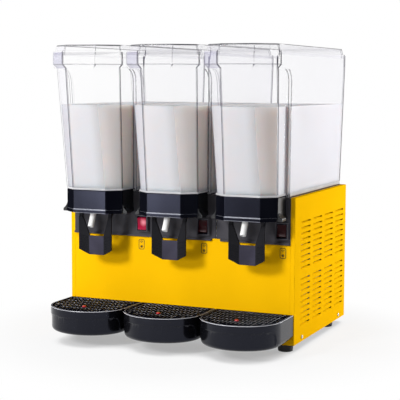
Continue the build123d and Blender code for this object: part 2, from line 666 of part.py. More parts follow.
# Clear lid
with BuildPart() as lid:
    lid_foot, lid_head = -LID_INSET, -LID_INSET - LID_DRAFT
    extrude(rim_plan(RIM_TOP, -LID_FLANGE_INSET), amount=LID_FLANGE)
    loft([rim_plan(RIM_TOP, lid_foot), rim_plan(LID_TOP, lid_head)], ruled=True)
    extrude(rim_plan(RIM_TOP - LID_SKIRT, -BOWL_WALL - LIFT), amount=LID_SKIRT)
    loft(
        [rim_plan(RIM_TOP, lid_foot - LID_WALL), rim_plan(LID_TOP - LID_WALL, lid_head - LID_WALL)],
        ruled=True,
        mode=Mode.SUBTRACT,
    )
    extrude(rim_plan(RIM_TOP - LID_SKIRT, lid_foot - LID_WALL), amount=LID_SKIRT, mode=Mode.SUBTRACT)
save_stations(lid.part, "lid")

# Bowl seat: housing open below, with a collar, a lip, finger wings, ears for the lever's pin and an anvil
with BuildPart() as bowl_seat:
    seat_rear = FASCIA_FACE
    extrude(nose_foot_plan(SEAT_BOTTOM, seat_rear), amount=SEAT_HEIGHT + BOWL_FLOOR_RISE - LIFT)
    extrude(nose_foot_plan(DECK_TOP, seat_rear, -SEAT_WALL), amount=BOWL_FLOOR_RISE, mode=Mode.SUBTRACT)
    extrude(nose_foot_plan(SEAT_BOTTOM, seat_rear - SEAT_LIP_PROUD, SEAT_LIP_PROUD), amount=SEAT_LIP_HEIGHT)
    wing_rear = FRONT - NOSE_FOOT_REACH + NOSE_FOOT_FACET + WING_LENGTH
    for sign in (-1, 1):
        root, tip = sign * (NOSE_FOOT_HALF - SEAT_WALL / 2), sign * (NOSE_FOOT_HALF + WING_REACH)
        foot, top = SEAT_BOTTOM, SEAT_BOTTOM + WING_HEIGHT
        with BuildSketch(Plane.XZ.offset(-wing_rear)):
            with BuildLine():
                Polyline((root, top), (root, foot), (tip, foot), (tip, foot + WING_FOOT))
                middle = sign * (NOSE_FOOT_HALF + WING_REACH / 4)
                ThreePointArc((tip, foot + WING_FOOT), (middle, (foot + WING_FOOT + top) / 2), (root, top))
            make_face()
        extrude(amount=WING_LENGTH)
    extrude(
        nose_foot_plan(SEAT_BOTTOM, seat_rear, -SEAT_WALL), amount=SEAT_HEIGHT - SEAT_TOP, mode=Mode.SUBTRACT
    )
    for sign in (-1, 1):
        ear_low, ear_high = sorted((sign * EAR_INSIDE, sign * (EAR_INSIDE + EAR_WIDTH)))
        block(
            (ear_low, PIVOT_Y - EAR_LENGTH / 2, PIVOT_Z - EAR_LENGTH / 2),
            (ear_high, PIVOT_Y + EAR_LENGTH / 2, DECK_TOP - SEAT_TOP),
        )
    pin_hole_length = 2 * (EAR_INSIDE + EAR_WIDTH)
    rod(
        (-pin_hole_length / 2, PIVOT_Y, PIVOT_Z),
        (1, 0, 0),
        LEVER_PIN_DIAMETER + 2 * RUNNING,
        pin_hole_length,
        mode=Mode.SUBTRACT,
    )
    anvil_front = FRONT - NOSE_FOOT_REACH + SEAT_WALL / 2
    block(
        (-ANVIL_WIDTH / 2, anvil_front, SEAT_BOTTOM),
        (ANVIL_WIDTH / 2, anvil_front + ANVIL_DEPTH, SEAT_BOTTOM + ANVIL_HEIGHT),
    )
    spout_head = (0, SPOUT_Y, DECK_TOP)
    rod(spout_head, (0, 0, -1), SPOUT_DIAMETER + 2 * SEAM, SEAT_TOP, mode=Mode.SUBTRACT)
    rod(spout_head, (0, 0, -1), SPOUT_FLANGE_DIAMETER + 2 * SEAM, SPOUT_FLANGE, mode=Mode.SUBTRACT)
save_stations(bowl_seat.part, "bowl_seat")

# Lever pins, one at each station
with BuildPart() as lever_pins:
    for x in STATIONS.values():
        half = EAR_INSIDE + EAR_WIDTH
        rod((x - half, PIVOT_Y, PIVOT_Z), (1, 0, 0), LEVER_PIN_DIAMETER, 2 * half)
save(lever_pins.part, "lever_pins")

# Tap lever
with BuildPart() as tap_lever:
    pad_foot, pad_head = PIVOT_Z - LEVER_PAD_BOTTOM, PIVOT_Z - LEVER_PAD_TOP
    face_y, wing_y = FRONT - LEVER_FACE_REACH, FRONT - LEVER_FACE_REACH - LEVER_WING_FORWARD
    with BuildSketch(Plane.XY.offset(pad_foot)):
        with BuildLine():
            Polyline(
                (-LEVER_HALF_WIDTH, wing_y),
                (-LEVER_FACE_HALF, face_y),
                (LEVER_FACE_HALF, face_y),
                (LEVER_HALF_WIDTH, wing_y),
                (LEVER_HALF_WIDTH, wing_y + LEVER_SHEET),
                (LEVER_FACE_HALF, face_y + LEVER_SHEET),
                (-LEVER_FACE_HALF, face_y + LEVER_SHEET),
                (-LEVER_HALF_WIDTH, wing_y + LEVER_SHEET),
                close=True,
            )
        make_face()
    extrude(amount=pad_head - pad_foot)
    wing_foot, v_foot = PIVOT_Z - LEVER_WING_BOTTOM, PIVOT_Z - LEVER_V_BOTTOM
    arm_inside = LEVER_HALF_WIDTH - LEVER_ARM_WIDTH
    with BuildSketch(Plane.XZ.offset(-face_y - LEVER_SHEET)):
        with BuildLine():
            Polyline(
                (-LEVER_HALF_WIDTH, wing_foot),
                (-LEVER_FACE_HALF, pad_foot),
                (LEVER_FACE_HALF, pad_foot),
                (LEVER_HALF_WIDTH, wing_foot),
                (LEVER_HALF_WIDTH, pad_head),
                (arm_inside, pad_head),
                (LEVER_V_HALF, v_foot),
                (-LEVER_V_HALF, v_foot),
                (-arm_inside, pad_head),
                (-LEVER_HALF_WIDTH, pad_head),
                close=True,
            )
        make_face()
    extrude(amount=LEVER_SHEET + 2 * LEVER_WING_FORWARD, mode=Mode.INTERSECT)
    arm_y = wing_y + LEVER_WING_FORWARD * LEVER_ARM_WIDTH / (LEVER_HALF_WIDTH - LEVER_FACE_HALF) / 2
    for x in (-LEVER_HALF_WIDTH, arm_inside):
        with BuildSketch(Plane.YZ.offset(x)):
            with Locations((PIVOT_Y, PIVOT_Z)):
                Circle(LEVER_EYE_DIAMETER / 2)
            with Locations((arm_y + LEVER_SHEET / 2, pad_head - LEVER_SHEET / 2)):
                Circle(LEVER_SHEET / 2)
            make_hull()
        extrude(amount=LEVER_ARM_WIDTH)
    bar_z = PIVOT_Z - LEVER_BAR_DROP
    arm_share = (LEVER_BAR_DROP - LEVER_BAR_SIZE / 2) / LEVER_PAD_TOP
    bar_y = PIVOT_Y + (arm_y - PIVOT_Y) * arm_share
    with Locations((0, bar_y, bar_z)):
        Box(2 * arm_inside + LEVER_ARM_WIDTH, LEVER_BAR_SIZE, LEVER_BAR_SIZE)
    rod(
        (-LEVER_HALF_WIDTH, PIVOT_Y, PIVOT_Z),
        (1, 0, 0),
        LEVER_PIN_DIAMETER + 2 * RUNNING,
        2 * LEVER_HALF_WIDTH,
        mode=Mode.SUBTRACT,
    )
save_stations(tap_lever.part, "tap_lever")

# Leaf spring from the seat's back wall to the lever's bar
with BuildPart() as lever_spring:
    plate_y = FASCIA_FACE - SEAT_WALL - SPRING_THICKNESS / 2
    plate_foot = PIVOT_Z - SEAT_WALL
    with BuildSketch(Plane.YZ.offset(-SPRING_WIDTH / 2)):
        with BuildLine():
            Polyline(
                (plate_y, plate_foot + SPRING_PLATE),
                (plate_y, plate_foot),
                (bar_y + LEVER_BAR_SIZE / 2 + SPRING_THICKNESS, bar_z),
            )
        trace(line_width=SPRING_THICKNESS)
    extrude(amount=SPRING_WIDTH)
save_stations(lever_spring.part, "lever_spring")

# Spout
with BuildPart() as spout:
    with BuildLine() as spout_path:
        FilletPolyline(
            (0, SPOUT_Y, DECK_TOP),
            (0, SPOUT_Y, SPOUT_BEND_Z),
            (0, SPOUT_TIP_Y, SPOUT_TIP_Z),
            radius=SPOUT_BEND_RADIUS,
        )
    with BuildSketch(Plane((0, SPOUT_Y, DECK_TOP), z_dir=(0, 0, -1))):
        Circle(SPOUT_DIAMETER / 2)
        Circle(SPOUT_BORE / 2, mode=Mode.SUBTRACT)
    sweep(path=spout_path.line)
    with BuildSketch(Plane((0, SPOUT_Y, DECK_TOP), z_dir=(0, 0, -1))):
        Circle(SPOUT_FLANGE_DIAMETER / 2)
        Circle(SPOUT_BORE / 2, mode=Mode.SUBTRACT)
    extrude(amount=SPOUT_FLANGE)
save_stations(spout.part, "spout")

# Evaporator drum, open below, with a flange on the deck and the impeller's axle on top
with BuildPart() as evaporator:
    with Locations((0, DRUM_Y, DECK_TOP)):
        Cylinder(GASKET_DIAMETER / 2, DRUM_FLANGE, align=FLOOR_UP)
        Cylinder(DRUM_DIAMETER / 2, DRUM_HEIGHT, align=FLOOR_UP)
        Cylinder(DRUM_DIAMETER / 2 - DRUM_WALL, DRUM_HEIGHT - DRUM_WALL, align=FLOOR_UP, mode=Mode.SUBTRACT)
    with Locations((0, DRUM_Y, DRUM_TOP)):
        Cylinder(AXLE_SHOULDER_DIAMETER / 2, AXLE_SHOULDER, align=FLOOR_UP)
        Cylinder(AXLE_DIAMETER / 2, AXLE_SHOULDER + AXLE_LENGTH, align=FLOOR_UP)
save_stations(evaporator.part, "evaporator")

# Gaskets round the drums
with BuildPart() as bowl_gaskets:
    with Locations(*((x, DRUM_Y, DECK_TOP + DRUM_FLANGE) for x in STATIONS.values())):
        Cylinder(GASKET_DIAMETER / 2, GASKET_HEIGHT, align=FLOOR_UP)
        Cylinder(DRUM_DIAMETER / 2 + RUNNING, GASKET_HEIGHT, align=FLOOR_UP, mode=Mode.SUBTRACT)
save(bowl_gaskets.part, "bowl_gaskets")

# Impeller with radial blades on a hub
with BuildPart() as impeller:
    with Locations((0, DRUM_Y, IMPELLER_BOTTOM)):
        Cylinder(IMPELLER_HUB_DIAMETER / 2, IMPELLER_HEIGHT, align=FLOOR_UP)
    with BuildSketch(Plane((0, DRUM_Y, IMPELLER_BOTTOM))):
        with PolarLocations(IMPELLER_DIAMETER / 4, IMPELLER_BLADES):
            Rectangle(IMPELLER_DIAMETER / 2, IMPELLER_BLADE)
    extrude(amount=IMPELLER_HEIGHT)
    with Locations((0, DRUM_Y, IMPELLER_BOTTOM)):
        Cylinder(AXLE_DIAMETER / 2 + RUNNING, IMPELLER_HEIGHT, align=FLOOR_UP, mode=Mode.SUBTRACT)
save_stations(impeller.part, "impeller")

# Drive magnet on its motor shaft
shaft_foot = DECK_UNDER - SHAFT_ENGAGE
with BuildPart() as drive_magnet:
    with Locations((0, DRUM_Y, MAGNET_BOTTOM)):
        Cylinder(MAGNET_DIAMETER / 2, MAGNET_THICKNESS, align=FLOOR_UP)
    rod((0, DRUM_Y, shaft_foot), (0, 0, 1), SHAFT_DIAMETER, MAGNET_BOTTOM - shaft_foot)
save_stations(drive_magnet.part, "drive_magnet")

# Mixing motors, hung under the deck
with BuildPart() as mixing_motors:
    for x in STATIONS.values():
        motor_head = (x, DRUM_Y, DECK_UNDER)
        shaft_bore = SHAFT_DIAMETER + 2 * RUNNING
        rod(motor_head, (0, 0, -1), MOTOR_DIAMETER, MOTOR_LENGTH)
        rod(motor_head, (0, 0, -1), shaft_bore, SHAFT_ENGAGE + LIFT, mode=Mode.SUBTRACT)
save(mixing_motors.part, "mixing_motors")


def tray_plan(z, inset=0.0):
    """D-shaped plan of a drip tray at a height, inset from its outer edge and its back."""
    back = FRONT - LIFT - inset
    with BuildSketch(Plane.XY.offset(z)) as plan:
        with Locations((0, FRONT - TRAY_SIDE)):
            Ellipse(TRAY_HALF - inset, TRAY_REACH - TRAY_SIDE - inset)
        with Locations((0, FRONT - TRAY_SIDE)):
            Rectangle(
                2 * (TRAY_HALF - inset), back - FRONT + TRAY_SIDE, align=(Align.CENTER, Align.MIN)
            )
        with Locations((0, back)):
            Rectangle(3 * TRAY_HALF, TRAY_REACH, align=(Align.CENTER, Align.MIN), mode=Mode.SUBTRACT)
    return plan.sketch


def tray_form(foot, top, inset, edge_radius):
    """Solid form of a drip tray between two heights, rounded below but not at its back."""
    with BuildPart() as form:
        extrude(tray_plan(foot, inset), amount=top - foot)
        foot_edges = form.edges().group_by(Axis.Z)[0]
        fillet(foot_edges.sort_by(Axis.Y)[:-1], radius=edge_radius)
    return form.part


def tray_field(foot, top):
    """Recessed field round the front of a drip tray, whose upper corners turn down into the flanks."""
    with BuildPart() as field:
        extrude(tray_plan(foot), amount=top - foot)
        extrude(tray_plan(foot, TRAY_BAND_PROUD), amount=top - foot, mode=Mode.SUBTRACT)
        with BuildSketch(Plane.YZ) as side_view:
            with Locations((FRONT - TRAY_FLANK, top)):
                Rectangle(TRAY_REACH, 2 * (top - foot), align=(Align.MAX, Align.MAX))
            turn = side_view.vertices().group_by(Axis.X)[-1].sort_by(Axis.Y)[-1]
            fillet(turn, radius=min(TRAY_CORNER, top - foot - SEAM))
        extrude(amount=TRAY_HALF, both=True, mode=Mode.INTERSECT)
    return field.part


# Drip tray: a proud band round its top, which turns down into the flanks, and a ledge inside for the grid
with BuildPart() as drip_tray:
    add(tray_form(TRAY_BOTTOM, TRAY_TOP, TRAY_BAND_PROUD, TRAY_EDGE_RADIUS))
    flank_foot = TRAY_BOTTOM + TRAY_EDGE_RADIUS
    extrude(tray_plan(flank_foot), amount=TRAY_TOP - flank_foot)
    add(tray_field(flank_foot, TRAY_TOP - TRAY_BAND), mode=Mode.SUBTRACT)
    cavity_floor = TRAY_BOTTOM + TRAY_FLOOR
    cavity_inset = TRAY_BAND_PROUD + TRAY_WALL
    cavity_radius = TRAY_EDGE_RADIUS - TRAY_WALL
    ledge_foot = GRID_BOTTOM - TRAY_LEDGE
    add(tray_form(cavity_floor, ledge_foot, cavity_inset, cavity_radius), mode=Mode.SUBTRACT)
    extrude(tray_plan(ledge_foot, cavity_inset + TRAY_LEDGE), amount=TRAY_LEDGE, mode=Mode.SUBTRACT)
    extrude(tray_plan(GRID_BOTTOM, TRAY_WALL), amount=GRID_THICKNESS, mode=Mode.SUBTRACT)
    for x in (-PEG_OFFSET, PEG_OFFSET):
        peg_root = Plane((x, FRONT, PEG_Z), x_dir=(1, 0, 0), z_dir=(0, 1, -1))
        with BuildSketch(peg_root):
            Rectangle(PEG_WIDTH, PEG_THICKNESS)
        extrude(amount=PEG_LENGTH)
        with BuildSketch(peg_root):
            Rectangle(PEG_WIDTH, PEG_THICKNESS)
        extrude(amount=-(LIFT + TRAY_WALL / 2) * math.sqrt(2))
save_stations(drip_tray.part, "drip_tray")

# Drip grid: a D-shaped plate with rows of slots and a collar for the float
with BuildPart() as drip_grid:
    extrude(tray_plan(GRID_BOTTOM, TRAY_WALL + LIFT), amount=GRID_THICKNESS)
    with BuildSketch(Plane.XY.offset(GRID_BOTTOM)):
        with Locations((0, FRONT - TRAY_REACH / 2)):
            with GridLocations(GRID_PITCH, GRID_RIB_PITCH, GRID_COLUMNS, GRID_ROWS):
                Rectangle(GRID_SLOT, GRID_RIB_PITCH - GRID_RIB)
        add(tray_plan(0, TRAY_WALL + LIFT + GRID_FRAME), mode=Mode.INTERSECT)
        with Locations((0, FLOAT_Y)):
            Circle(FLOAT_TIP_DIAMETER / 2 + LIFT + FLOAT_COLLAR, mode=Mode.SUBTRACT)
            Circle(FLOAT_TIP_DIAMETER / 2 + LIFT)
    extrude(amount=GRID_THICKNESS, mode=Mode.SUBTRACT)
save_stations(drip_grid.part, "drip_grid")

# Red float with a round tip that shows through the grid
with BuildPart() as tray_float:
    float_foot = TRAY_BOTTOM + TRAY_FLOOR
    with Locations((0, FLOAT_Y, float_foot)):
        Cylinder(FLOAT_BODY_DIAMETER / 2, FLOAT_BODY_HEIGHT, align=FLOOR_UP)
        Cylinder(FLOAT_TIP_DIAMETER / 2, TRAY_TOP + FLOAT_PROUD - float_foot, align=FLOOR_UP)
    tip_edge = tray_float.edges().group_by(Axis.Z)[-1]
    fillet(tip_edge, radius=min(FLOAT_PROUD, FLOAT_TIP_DIAMETER / 2 - SEAM))
save_stations(tray_float.part, "tray_float")

# Rubber feet
with BuildPart() as rubber_feet:
    for x, y in FOOT_SPOTS:
        with Locations((x, y, 0)):
            Cone(FOOT_DIAMETER / 2 - FOOT_TAPER, FOOT_DIAMETER / 2, FOOT_HEIGHT, align=FLOOR_UP)
            Cylinder(FOOT_PLUG_DIAMETER / 2, FOOT_HEIGHT + FOOT_PLUG_LENGTH, align=FLOOR_UP)
save(rubber_feet.part, "rubber_feet")

# Panel screws, with a slot across each head
with BuildPart() as panel_screws:
    spots = [((sign * CASE_HALF, y, SCREW_Z), (sign, 0, 0)) for sign in (-1, 1) for y in SIDE_SCREW_Y]
    spots += [((x, REAR, SCREW_Z), (0, 1, 0)) for x in REAR_SCREW_X]
    for spot, outward in spots:
        face = Plane(spot, x_dir=(0, 0, 1), z_dir=outward)
        with BuildSketch(face):
            Circle(SCREW_HEAD_DIAMETER / 2)
        extrude(amount=SCREW_HEAD_HEIGHT)
        with BuildSketch(face):
            Circle(SCREW_DIAMETER / 2)
        extrude(amount=-SCREW_LENGTH)
        with BuildSketch(face.offset(SCREW_HEAD_HEIGHT)):
            Rectangle(SCREW_HEAD_DIAMETER, SCREW_RECESS)
        extrude(amount=-SCREW_RECESS, mode=Mode.SUBTRACT)
save(panel_screws.part, "panel_screws")

# Compressor: a domed can on a plate with four rubber stands, with two pipe ports
with BuildPart() as compressor:
    with Locations((COMPRESSOR_X, COMPRESSOR_Y, PAN_TOP + COMPRESSOR_STAND)):
        Box(COMPRESSOR_DIAMETER, COMPRESSOR_DIAMETER, COMPRESSOR_PLATE, align=FLOOR_UP)
    can_foot = PAN_TOP + COMPRESSOR_STAND + COMPRESSOR_PLATE
    with Locations((COMPRESSOR_X, COMPRESSOR_Y, can_foot)):
        Cylinder(COMPRESSOR_DIAMETER / 2, COMPRESSOR_HEIGHT, align=FLOOR_UP)
    fillet(compressor.edges().group_by(Axis.Z)[-1], radius=COMPRESSOR_DOME)
    stand_pitch = COMPRESSOR_DIAMETER - 2 * COMPRESSOR_STAND
    with Locations((COMPRESSOR_X, COMPRESSOR_Y, PAN_TOP)):
        with GridLocations(stand_pitch, stand_pitch, 2, 2):
            Cylinder(COMPRESSOR_STAND / 2, COMPRESSOR_STAND, align=FLOOR_UP)
    for x in (COMPRESSOR_X - COMPRESSOR_PORT_OFFSET, COMPRESSOR_X + COMPRESSOR_PORT_OFFSET):
        rod((x, COMPRESSOR_Y, can_foot), (0, 0, 1), PIPE_DIAMETER, COMPRESSOR_PORT_TOP - can_foot)
save(compressor.part, "compressor")

# Condenser: fins between two end plates, on rows of tube, with two pipe ports on top
with BuildPart() as condenser:
    front_end, back_end = DRUM_Y - CONDENSER_LENGTH / 2, DRUM_Y + CONDENSER_LENGTH / 2
    fin_pitch = (CONDENSER_LENGTH - CONDENSER_FIN) / (CONDENSER_FINS - 1)
    for index in range(CONDENSER_FINS):
        fin_y = front_end + CONDENSER_FIN / 2 + index * fin_pitch
        fin_foot = PAN_TOP if index in (0, CONDENSER_FINS - 1) else CONDENSER_FOOT
        with Locations((CONDENSER_X, fin_y, fin_foot)):
            Box(CONDENSER_WIDTH, CONDENSER_FIN, CONDENSER_TOP - fin_foot, align=FLOOR_UP)
    row_pitch = (CONDENSER_TOP - CONDENSER_FOOT) / CONDENSER_ROWS
    for index in range(CONDENSER_ROWS):
        row_z = CONDENSER_FOOT + (index + 0.5) * row_pitch
        rod((CONDENSER_X, front_end, row_z), (0, 1, 0), CONDENSER_TUBE, CONDENSER_LENGTH)
    block(
        (CONDENSER_X - CONDENSER_WIDTH / 2, front_end, CONDENSER_TOP - CONDENSER_PLATE),
        (CONDENSER_X + CONDENSER_WIDTH / 2, back_end, CONDENSER_TOP),
    )
    for y in (LIQUID_Y, COMPRESSOR_Y):
        rod((CONDENSER_X, y, CONDENSER_TOP), (0, 0, 1), PIPE_DIAMETER, CONDENSER_PORT_HEIGHT)
save(condenser.part, "condenser")

# Fan bracket: a ring on a foot, with arms that carry the motor and its shaft
with BuildPart() as fan_bracket:
    ring_low = FAN_X - FAN_RING_DEPTH
    with BuildSketch(Plane.YZ.offset(ring_low)):
        with Locations((DRUM_Y, FAN_Z)):
            Circle(FAN_RING_OUTSIDE)
        with Locations((DRUM_Y, PAN_TOP)):
            Rectangle(FAN_FOOT, FAN_Z - PAN_TOP, align=(Align.CENTER, Align.MIN))
        with Locations((DRUM_Y, FAN_Z)):
            Circle(FAN_RING_OUTSIDE - FAN_RING_WALL, mode=Mode.SUBTRACT)
    extrude(amount=FAN_RING_DEPTH)
    with BuildSketch(Plane.YZ.offset(FAN_ARM_X)):
        with Locations((DRUM_Y, FAN_Z)):
            Rectangle(2 * FAN_RING_OUTSIDE, FAN_ARM)
            Circle(FAN_MOTOR_DIAMETER / 2)
    extrude(amount=FAN_ARM_SETBACK)
    rod((FAN_ARM_X, DRUM_Y, FAN_Z), (-1, 0, 0), FAN_MOTOR_DIAMETER, FAN_MOTOR_LENGTH)
    rod((FAN_ARM_X, DRUM_Y, FAN_Z), (1, 0, 0), FAN_SHAFT_DIAMETER, FAN_ARM_SETBACK + FAN_RING_DEPTH)
    for sign in (-1, 1):
        arm_edge = DRUM_Y + sign * FAN_RING_OUTSIDE
        low, high = sorted((arm_edge, arm_edge - sign * FAN_RING_WALL))
        block((FAN_ARM_X, low, FAN_Z - FAN_ARM / 2), (ring_low + FAN_ARM, high, FAN_Z + FAN_ARM / 2))
save(fan_bracket.part, "fan_bracket")

# Fan: slanted blades on a hub that turns on the motor's shaft
hub_low = FAN_X - FAN_RING_DEPTH / 2 - FAN_HUB_LENGTH / 2
with BuildPart() as fan:
    rod((hub_low, DRUM_Y, FAN_Z), (1, 0, 0), FAN_HUB_DIAMETER, FAN_HUB_LENGTH)
    blade_start = FAN_HUB_DIAMETER / 2 - FAN_RING_WALL
    for index in range(FAN_BLADES):
        angle = 2 * math.pi * index / FAN_BLADES
        outward = Vector(0, math.cos(angle), math.sin(angle))
        along = Vector(1, 0, 0).rotate(Axis((0, 0, 0), outward), FAN_BLADE_PITCH)
        root_point = Vector(hub_low + FAN_HUB_LENGTH / 2, DRUM_Y, FAN_Z) + outward * blade_start
        with BuildSketch(Plane(root_point, x_dir=along, z_dir=outward)):
            Rectangle(FAN_BLADE, FAN_BLADE_CHORD)
        extrude(amount=FAN_DIAMETER / 2 - blade_start - FAN_TIP_GAP)
    fan_bore = FAN_SHAFT_DIAMETER + 2 * RUNNING
    rod((hub_low, DRUM_Y, FAN_Z), (1, 0, 0), fan_bore, FAN_HUB_LENGTH, mode=Mode.SUBTRACT)
save(fan.part, "fan")

# Refrigerant pipes: liquid and suction headers with risers to the drums, and the discharge pipe
with BuildPart() as refrigerant_pipes:
    suction_x = COMPRESSOR_X - COMPRESSOR_PORT_OFFSET
    header_low = STATIONS["left"]
    for y, header_high in ((LIQUID_Y, CONDENSER_X), (SUCTION_Y, STATIONS["right"])):
        rod((header_low, y, HEADER_Z), (1, 0, 0), PIPE_DIAMETER, header_high - header_low)
        for x in STATIONS.values():
            rod((x, y, HEADER_Z), (0, 0, 1), PIPE_DIAMETER, DECK_TOP + PIPE_RISE - HEADER_Z)
        for x in (header_low, header_high):
            with Locations((x, y, HEADER_Z)):
                Sphere(PIPE_DIAMETER / 2)
    for x, y, port in (
        (CONDENSER_X, LIQUID_Y, CONDENSER_PORT_TOP),
        (suction_x, SUCTION_Y, COMPRESSOR_PORT_TOP),
    ):
        rod((x, y, port), (0, 0, 1), PIPE_DIAMETER, HEADER_Z - port)
    rod((FASCIA_JOINT - DRIER_LENGTH / 2, LIQUID_Y, HEADER_Z), (1, 0, 0), DRIER_DIAMETER, DRIER_LENGTH)
    discharge_x = COMPRESSOR_X + COMPRESSOR_PORT_OFFSET
    with BuildLine() as discharge_path:
        FilletPolyline(
            (discharge_x, COMPRESSOR_Y, COMPRESSOR_PORT_TOP),
            (discharge_x, COMPRESSOR_Y, DISCHARGE_Z),
            (CONDENSER_X, COMPRESSOR_Y, DISCHARGE_Z),
            (CONDENSER_X, COMPRESSOR_Y, CONDENSER_PORT_TOP),
            radius=DISCHARGE_BEND,
        )
    with BuildSketch(Plane((discharge_x, COMPRESSOR_Y, COMPRESSOR_PORT_TOP))):
        Circle(PIPE_DIAMETER / 2)
    sweep(path=discharge_path.line)
save(refrigerant_pipes.part, "refrigerant_pipes")

# Thermostat under the deck
with BuildPart() as thermostat:
    with Locations((FASCIA_JOINT, FRONT + THERMOSTAT_FROM_FRONT, DECK_UNDER)):
        Box(*[THERMOSTAT_SIZE] * 3, align=(Align.CENTER, Align.CENTER, Align.MAX))
save(thermostat.part, "thermostat")

# Power inlet: a flanged socket with three blades
with BuildPart() as power_inlet:
    with BuildSketch(Plane.XZ.offset(-REAR - INLET_FLANGE)):
        with Locations((INLET_X, INLET_Z)):
            RectangleRounded(
                INLET_WIDTH + 2 * INLET_FLANGE_MARGIN,
                INLET_HEIGHT + 2 * INLET_FLANGE_MARGIN,
                INLET_FLANGE_MARGIN / 2,
            )
    extrude(amount=INLET_FLANGE)
    with Locations((INLET_X, REAR, INLET_Z)):
        Box(INLET_WIDTH, INLET_DEPTH, INLET_HEIGHT, align=FRONT_OF)
    with Locations((INLET_X, REAR + INLET_FLANGE, INLET_Z)):
        Box(
            INLET_WIDTH - 2 * INLET_WALL,
            INLET_DEPTH + INLET_FLANGE - INLET_WALL,
            INLET_HEIGHT - 2 * INLET_WALL,
            align=FRONT_OF,
            mode=Mode.SUBTRACT,
        )
    with Locations((INLET_X, REAR - INLET_DEPTH + INLET_WALL, INLET_Z)):
        for index in (-1, 0, 1):
            with Locations((index * INLET_PIN_PITCH, 0, 0)):
                Box(INLET_PIN_WIDTH, INLET_PIN_LENGTH, INLET_PIN_HEIGHT, align=BACK_OF)
save(power_inlet.part, "power_inlet")
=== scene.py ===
"""Looks of a counter-top cold drink dispenser with three bowls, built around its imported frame.

Lengths are in metres. +X is right, +Y is back and +Z is up, as in the frame.
"""

import json
import logging
import math
from contextlib import contextmanager
from dataclasses import dataclass, field, replace
from enum import Enum, IntEnum
from typing import Callable, Iterator, Sequence

import bmesh
import bpy
from mathutils import Matrix, Vector


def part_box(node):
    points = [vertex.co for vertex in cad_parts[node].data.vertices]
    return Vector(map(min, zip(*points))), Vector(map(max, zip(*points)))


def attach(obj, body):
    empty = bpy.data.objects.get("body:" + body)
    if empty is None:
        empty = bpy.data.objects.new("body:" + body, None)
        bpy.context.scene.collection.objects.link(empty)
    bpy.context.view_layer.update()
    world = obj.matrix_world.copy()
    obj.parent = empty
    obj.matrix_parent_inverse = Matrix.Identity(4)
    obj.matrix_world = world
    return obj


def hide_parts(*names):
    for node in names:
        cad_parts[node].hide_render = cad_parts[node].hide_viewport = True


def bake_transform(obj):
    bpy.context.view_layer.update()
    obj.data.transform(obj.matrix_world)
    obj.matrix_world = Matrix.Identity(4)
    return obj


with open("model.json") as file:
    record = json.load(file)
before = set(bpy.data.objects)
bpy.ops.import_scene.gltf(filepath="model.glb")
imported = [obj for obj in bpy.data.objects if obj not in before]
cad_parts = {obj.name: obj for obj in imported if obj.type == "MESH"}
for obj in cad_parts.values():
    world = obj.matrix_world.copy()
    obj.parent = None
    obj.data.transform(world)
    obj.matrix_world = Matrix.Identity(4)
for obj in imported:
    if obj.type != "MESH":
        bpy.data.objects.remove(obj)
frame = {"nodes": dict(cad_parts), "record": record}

LOG = logging.getLogger("dispenser")
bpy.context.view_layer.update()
BODY_OF_NODE = {
    node: body for body, nodes in frame["record"]["behaviour"]["bodies"].items() for node in nodes
}
SLOT_OF_NODE = {part["node"]: part["material_slot"] for part in frame["record"]["subparts"]}

# Corners nearer than the first are one corner, and heights nearer than the second are level
MERGE = 1e-5
LEVEL = 1e-4
# Faces that meet at less than the first make one flat face, at more than the second an edge
FLAT_ANGLE = math.radians(0.6)
SHARP_ANGLE = math.radians(28)

Triple = tuple[float, float, float]
Colour = Triple
Span = tuple[float, float]
WHITE: Colour = (1.0, 1.0, 1.0)


class Side(Enum):
    """The three stations of the machine, from left to right."""

    LEFT = "left"
    MIDDLE = "middle"
    RIGHT = "right"


class MeshPart(Enum):
    """What an operator works on in an open mesh."""

    CORNER = "VERT"
    EDGE = "EDGE"
    FACE = "FACE"


class BowlSkin(IntEnum):
    """Numbers of a bowl's finishes: the plain wall, then painted dark reflections on lines, corners
    and slants, painted light on the foot and painted shadow at the gap under the sides.
    """

    WALL = 0
    LINE = 1
    CORNER = 2
    FACET = 3
    FOOT = 4
    BEND = 5
    GAP = 6


class LidSkin(IntEnum):
    """Numbers of a lid's finishes: the plain wall, then edges and corners painted dark as painted
    reflections.
    """

    WALL = 0
    EDGE = 1
    CORNER = 2


class DrinkSkin(IntEnum):
    """Numbers of a drink's finishes, which paint light and shade onto its sides."""

    FRONT = 0
    END = 1
    LEFT = 2
    SLANT = 3


class SeatSkin(IntEnum):
    """Numbers of a bowl seat's finishes; the lip's is a painted highlight and the flanks' matt one
    is painted shade.
    """

    FRONT = 0
    WING = 1
    LIP = 2
    FLANK = 3


class LeverSkin(IntEnum):
    """Numbers of a tap lever's finishes; the face's lighter finish is painted sheen."""

    WING = 0
    FACE = 1


class TraySkin(IntEnum):
    """Numbers of the finishes of a drip tray or grid; the rim's finish is a painted highlight."""

    WALL = 0
    TOP = 1
    RIM = 2


